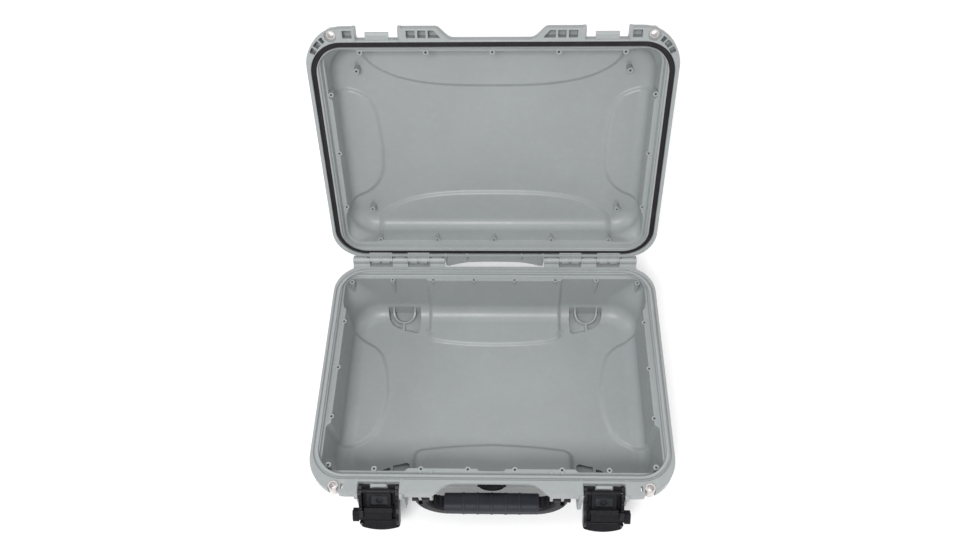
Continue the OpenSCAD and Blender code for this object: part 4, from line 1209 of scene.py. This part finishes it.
def valve():
    # cap with two ears, a dished face and a rim
    prof = rounded([(12.6, 1.8), (16.0, 1.8), (16.0, 4.5), (14.6, 4.55), (13.4, 3.9), (6.5, 3.6), (5.2, 4.3), (0, 4.35), (0, 3.0), (12.6, 3.0)], 0.35)
    cap = turned([p for p in prof], 72, closed=True)
    ears = []
    for s in (-1, 1):
        e = [(s * 14.5, -3.4), (s * 16.2, -3.0)] + [(s * 16.0 + s * 2.5 * math.cos(rad(a)), 2.5 * math.sin(rad(a))) for a in np.linspace(-80, 80, 9)] + [(s * 16.2, 3.0), (s * 14.5, 3.4)]
        ears.append(prism(e, 1.9, 4.5, "z", 0.4, 2))
    slots = []
    for a in (45, 135, 225, 315):
        c, s = math.cos(rad(a)), math.sin(rad(a))
        slots.append(prism([(c * r - s * t, s * r + c * t) for r, t in ((9.6, -1.3), (13.0, -1.3), (13.0, 1.3), (9.6, 1.3))], 3.3, 6, "z"))
    boolean(cap, join("c", slots))
    piece("valve_cap_visual", [cap] + ears, BLACK, "base", "valve_cap", on_valve)
    # body: flange against the seat and a threaded spigot inside
    th = []
    for i in range(12):
        z = -13.6 + i * 1.1
        th += [(7.55, z), (7.95, z + 0.45), (7.95, z + 0.65)]
    prof = [(5.0, -13.9), (7.3, -14.0)] + th + [(7.9, 0.15), (14.3, 0.15), (14.4, 0.4), (14.4, 1.4), (14.2, 1.65), (5.0, 1.65)]
    body = turned(prof, 56)
    grid = turned(rounded([(0.9, -2.2), (5.2, -2.2), (5.2, -0.4), (0.9, -0.4)], 0.2), 40)
    spokes = [prism([(c * r - s * t, s * r + c * t) for r, t in ((0.5, -0.5), (5.3, -0.5), (5.3, 0.5), (0.5, 0.5))], -2.4, -0.3, "z", 0.15, 1)
              for c, s in ((math.cos(rad(a)), math.sin(rad(a))) for a in range(0, 360, 60))]
    boolean(grid, join("c", [turned([(1.6, -3), (4.4, -3), (4.4, 1), (1.6, 1)], 40)]))
    piece("valve_body_visual", [body, grid] + spokes, BLACK, "base", "valve_body", on_valve)
    # nut with chamfered flats
    nut = prism(circ(0, 0, 12.95, 6), -12.15, -7.25, "z", 0.5, 2)
    boolean(nut, turned([(0, -20), (8.05, -20), (8.05, 0), (0, 0)], 40, closed=False))
    piece("valve_nut_visual", [nut], BLACK, "base", "valve_nut", on_valve)


valve()

# ---------------------------------------------------------------- pins, sleeves, seals
X_AXIS = lambda y, z: (lambda v: np.stack([v[:, 2], y + v[:, 0], z + v[:, 1]], 1))


def pin(x0, x1, r, y, z, dome=0.35):
    return turned([(0, x0), (r * 0.55, x0 + dome * 0.15), (r * 0.85, x0 + dome * 0.6), (r, x0 + dome * 1.6), (r, x1 - dome * 1.6), (r * 0.85, x1 - dome * 0.6), (r * 0.55, x1 - dome * 0.15), (0, x1)], 32, X_AXIS(y, z), closed=False)


piece("hinge_pins_visual", [pin(*sorted((s * 73.2, s * 207.8)), 2.0, HY, HZ) for s in (-1, 1)], PIN, "base", "hinge_pins")
ps_ = []
for s in (-1, 1):
    for a, b in ((21.5, 30.3), (-30.3, -21.5)):
        ps_.append(pin(s * 140.75 + a, s * 140.75 + b, 2.0, P0Y, P0Z))
piece("latch_pivot_pins_visual", ps_, PIN, "base", "latch_pivot_pins")
piece("handle_pivot_pins_visual", [pin(*sorted((s * 74.2, s * 100.2)), 2.5, HPY, HPZ) for s in (-1, 1)], PIN, "base", "handle_pivot_pins")
c5, s5 = math.cos(TH), math.sin(TH)
for s, n in ((-1, "left"), (1, "right")):
    piece(f"claw_pin_{n}_visual", [pin(s * 140.75 - 25.0, s * 140.75 + 25.0, 1.5, P0Y + 5 * s5, P0Z - 5 * c5, 0.25)], PIN, f"lever_{n}", f"claw_pin_{n}")

piece("base_padlock_sleeves_visual", [turned(rounded([(4.2, 82.05), (6.3, 82.05), (6.3, 98.0), (4.2, 98.0)], 0.55), 56,
      lambda v, s=s: v + np.array([s * 197.3, -169.3, 0])) for s in (-1, 1)], SLEEVE, "base", "base_padlock_sleeves")
piece("lid_padlock_sleeves_visual", [turned(rounded([(4.0, 99.4), (5.8, 99.4), (5.8, 108.6), (6.9, 108.6), (6.9, 109.7), (4.0, 109.7)], 0.4), 56,
      lambda v, s=s: opened(v + np.array([s * 197.3, -169.3, 0]))) for s in (-1, 1)], SLEEVE, "lid", "lid_padlock_sleeves")


def torus(R, r, f, n=72, m=20):
    V = [((R + r * math.cos(2 * math.pi * j / m)) * math.cos(2 * math.pi * i / n), (R + r * math.cos(2 * math.pi * j / m)) * math.sin(2 * math.pi * i / n), r * math.sin(2 * math.pi * j / m)) for i in range(n) for j in range(m)]
    F = [(i * m + j, ((i + 1) % n) * m + j, ((i + 1) % n) * m + (j + 1) % m, i * m + (j + 1) % m) for i in range(n) for j in range(m)]
    o = raw("torus", np.array(V), F, f)
    fix_normals(o)
    return o


piece("valve_o_ring_visual", [torus(12.2, 0.36, lambda v: on_valve(v + np.array([0, 0, 0.48])))], FOAM, "base", "valve_o_ring", angle=80)
piece("valve_membrane_visual", [turned([(0, 1.75), (4.0, 1.75), (5.9, 1.76), (6.0, 1.9), (5.9, 2.03), (4.0, 2.0), (0, 1.99)], 56, on_valve, closed=False)], MEMB, "base", "valve_membrane", angle=60)


def detent(s):
    n = "right" if s > 0 else "left"
    # small spring leaf: a block with a rounded nose
    o = prism(rounded2([(-3.85, 27.15), (-0.15, 27.15), (-0.15, 29.85), (-3.85, 29.85)], 0.5, 3), 2.4, 6.9, "y", 0.35, 3)
    f = latch_xf(s)
    g = lambda v: f(np.stack([v[:, 0], -v[:, 1], v[:, 2]], 1))
    piece(f"slide_detent_{n}_visual", [o], PIN, f"slide_{n}", f"slide_detent_{n}", g)


for s_ in (-1, 1):
    detent(s_)

# ---------------------------------------------------------------- stage, light and camera
def stage():
    # floor that turns up into a backdrop far behind
    R, Y0, Y1, X = 2.2, -4.0, 4.5, 7.0
    prof = [(Y0, 0.0)] + [(Y1 + R * math.sin(rad(a)), R - R * math.cos(rad(a))) for a in range(0, 91, 6)] + [(Y1 + R, 6.0)]
    V = [(x, y, z) for x in (-X, X) for y, z in prof]
    n = len(prof)
    F = [(i, i + 1, n + i + 1, n + i) for i in range(n - 1)]
    me = bpy.data.meshes.new("floor")
    me.from_pydata(V, [], F)
    me.shade_smooth()
    o = bpy.data.objects.new("floor", me)
    bpy.context.scene.collection.objects.link(o)
    m, nt, b = new_mat("studio_floor")
    co = nt.nodes.new("ShaderNodeTexCoord").outputs["Object"]
    f = noise(nt, co, 3, 2, 0.5)
    nt.links.new(mixc(nt, f, (0.86, 0.86, 0.86), (0.88, 0.88, 0.88)), b.inputs["Base Color"])
    b.inputs["Roughness"].default_value = 0.7
    b.inputs["Emission Color"].default_value = (1, 1, 1, 1)
    b.inputs["Emission Strength"].default_value = 0.13
    b.inputs["Specular IOR Level"].default_value = 0.2
    me.materials.append(m)


def light(name, loc, target, size, power, color=(1, 1, 1)):
    d = bpy.data.lights.new(name, "AREA")
    d.shape = "RECTANGLE"
    d.size, d.size_y = size
    d.energy = power
    d.color = color
    o = bpy.data.objects.new(name, d)
    o.location = loc
    o.rotation_euler = (Vector(target) - Vector(loc)).to_track_quat("-Z", "Y").to_euler()
    bpy.context.scene.collection.objects.link(o)


stage()
light("key", (-0.3, -1.6, 2.15), (0, 0.0, 0.1), (1.0, 0.7), 52)
light("top", (0.3, 0.5, 2.6), (0, 0.05, 0.1), (1.6, 1.2), 9)
light("left", (-2.2, 0.1, 1.3), (0, 0.1, 0.15), (0.9, 1.2), 17, (0.93, 0.965, 1.0))
light("right", (2.2, 0.1, 1.3), (0, 0.1, 0.15), (0.9, 1.2), 10, (1.0, 1.0, 0.95))
light("back", (0, 2.2, 1.7), (0, 0.1, 0.2), (2.4, 0.8), 6)
w = bpy.data.worlds.new("studio")
w.use_nodes = True
bg = w.node_tree.nodes["Background"]
bg.inputs["Color"].default_value = (1.0, 1.0, 1.0, 1)
bg.inputs["Strength"].default_value = 0.46
bpy.context.scene.world = w
bpy.context.scene.view_settings.view_transform = "Standard"

PITCH, YAW, ROLL = rad(55.70726), rad(-2.56167), rad(-1.96621)
fw = Vector((math.sin(YAW) * math.cos(PITCH), math.cos(YAW) * math.cos(PITCH), -math.sin(PITCH)))
rt = Vector((math.cos(YAW), -math.sin(YAW), 0))
up = rt.cross(fw)
rt2 = rt * math.cos(ROLL) + up * math.sin(ROLL)
up2 = -rt * math.sin(ROLL) + up * math.cos(ROLL)
cam = bpy.data.cameras.new("camera")
cam.sensor_width = 36
cam.sensor_fit = "HORIZONTAL"
cam.lens = 820 * 36 / 978
co = bpy.data.objects.new("camera", cam)
co.matrix_world = Matrix(((rt2.x, up2.x, -fw.x, 0.022548), (rt2.y, up2.y, -fw.y, -0.525104), (rt2.z, up2.z, -fw.z, 1.086515), (0, 0, 0, 1)))
bpy.context.scene.collection.objects.link(co)
bpy.context.scene.camera = co
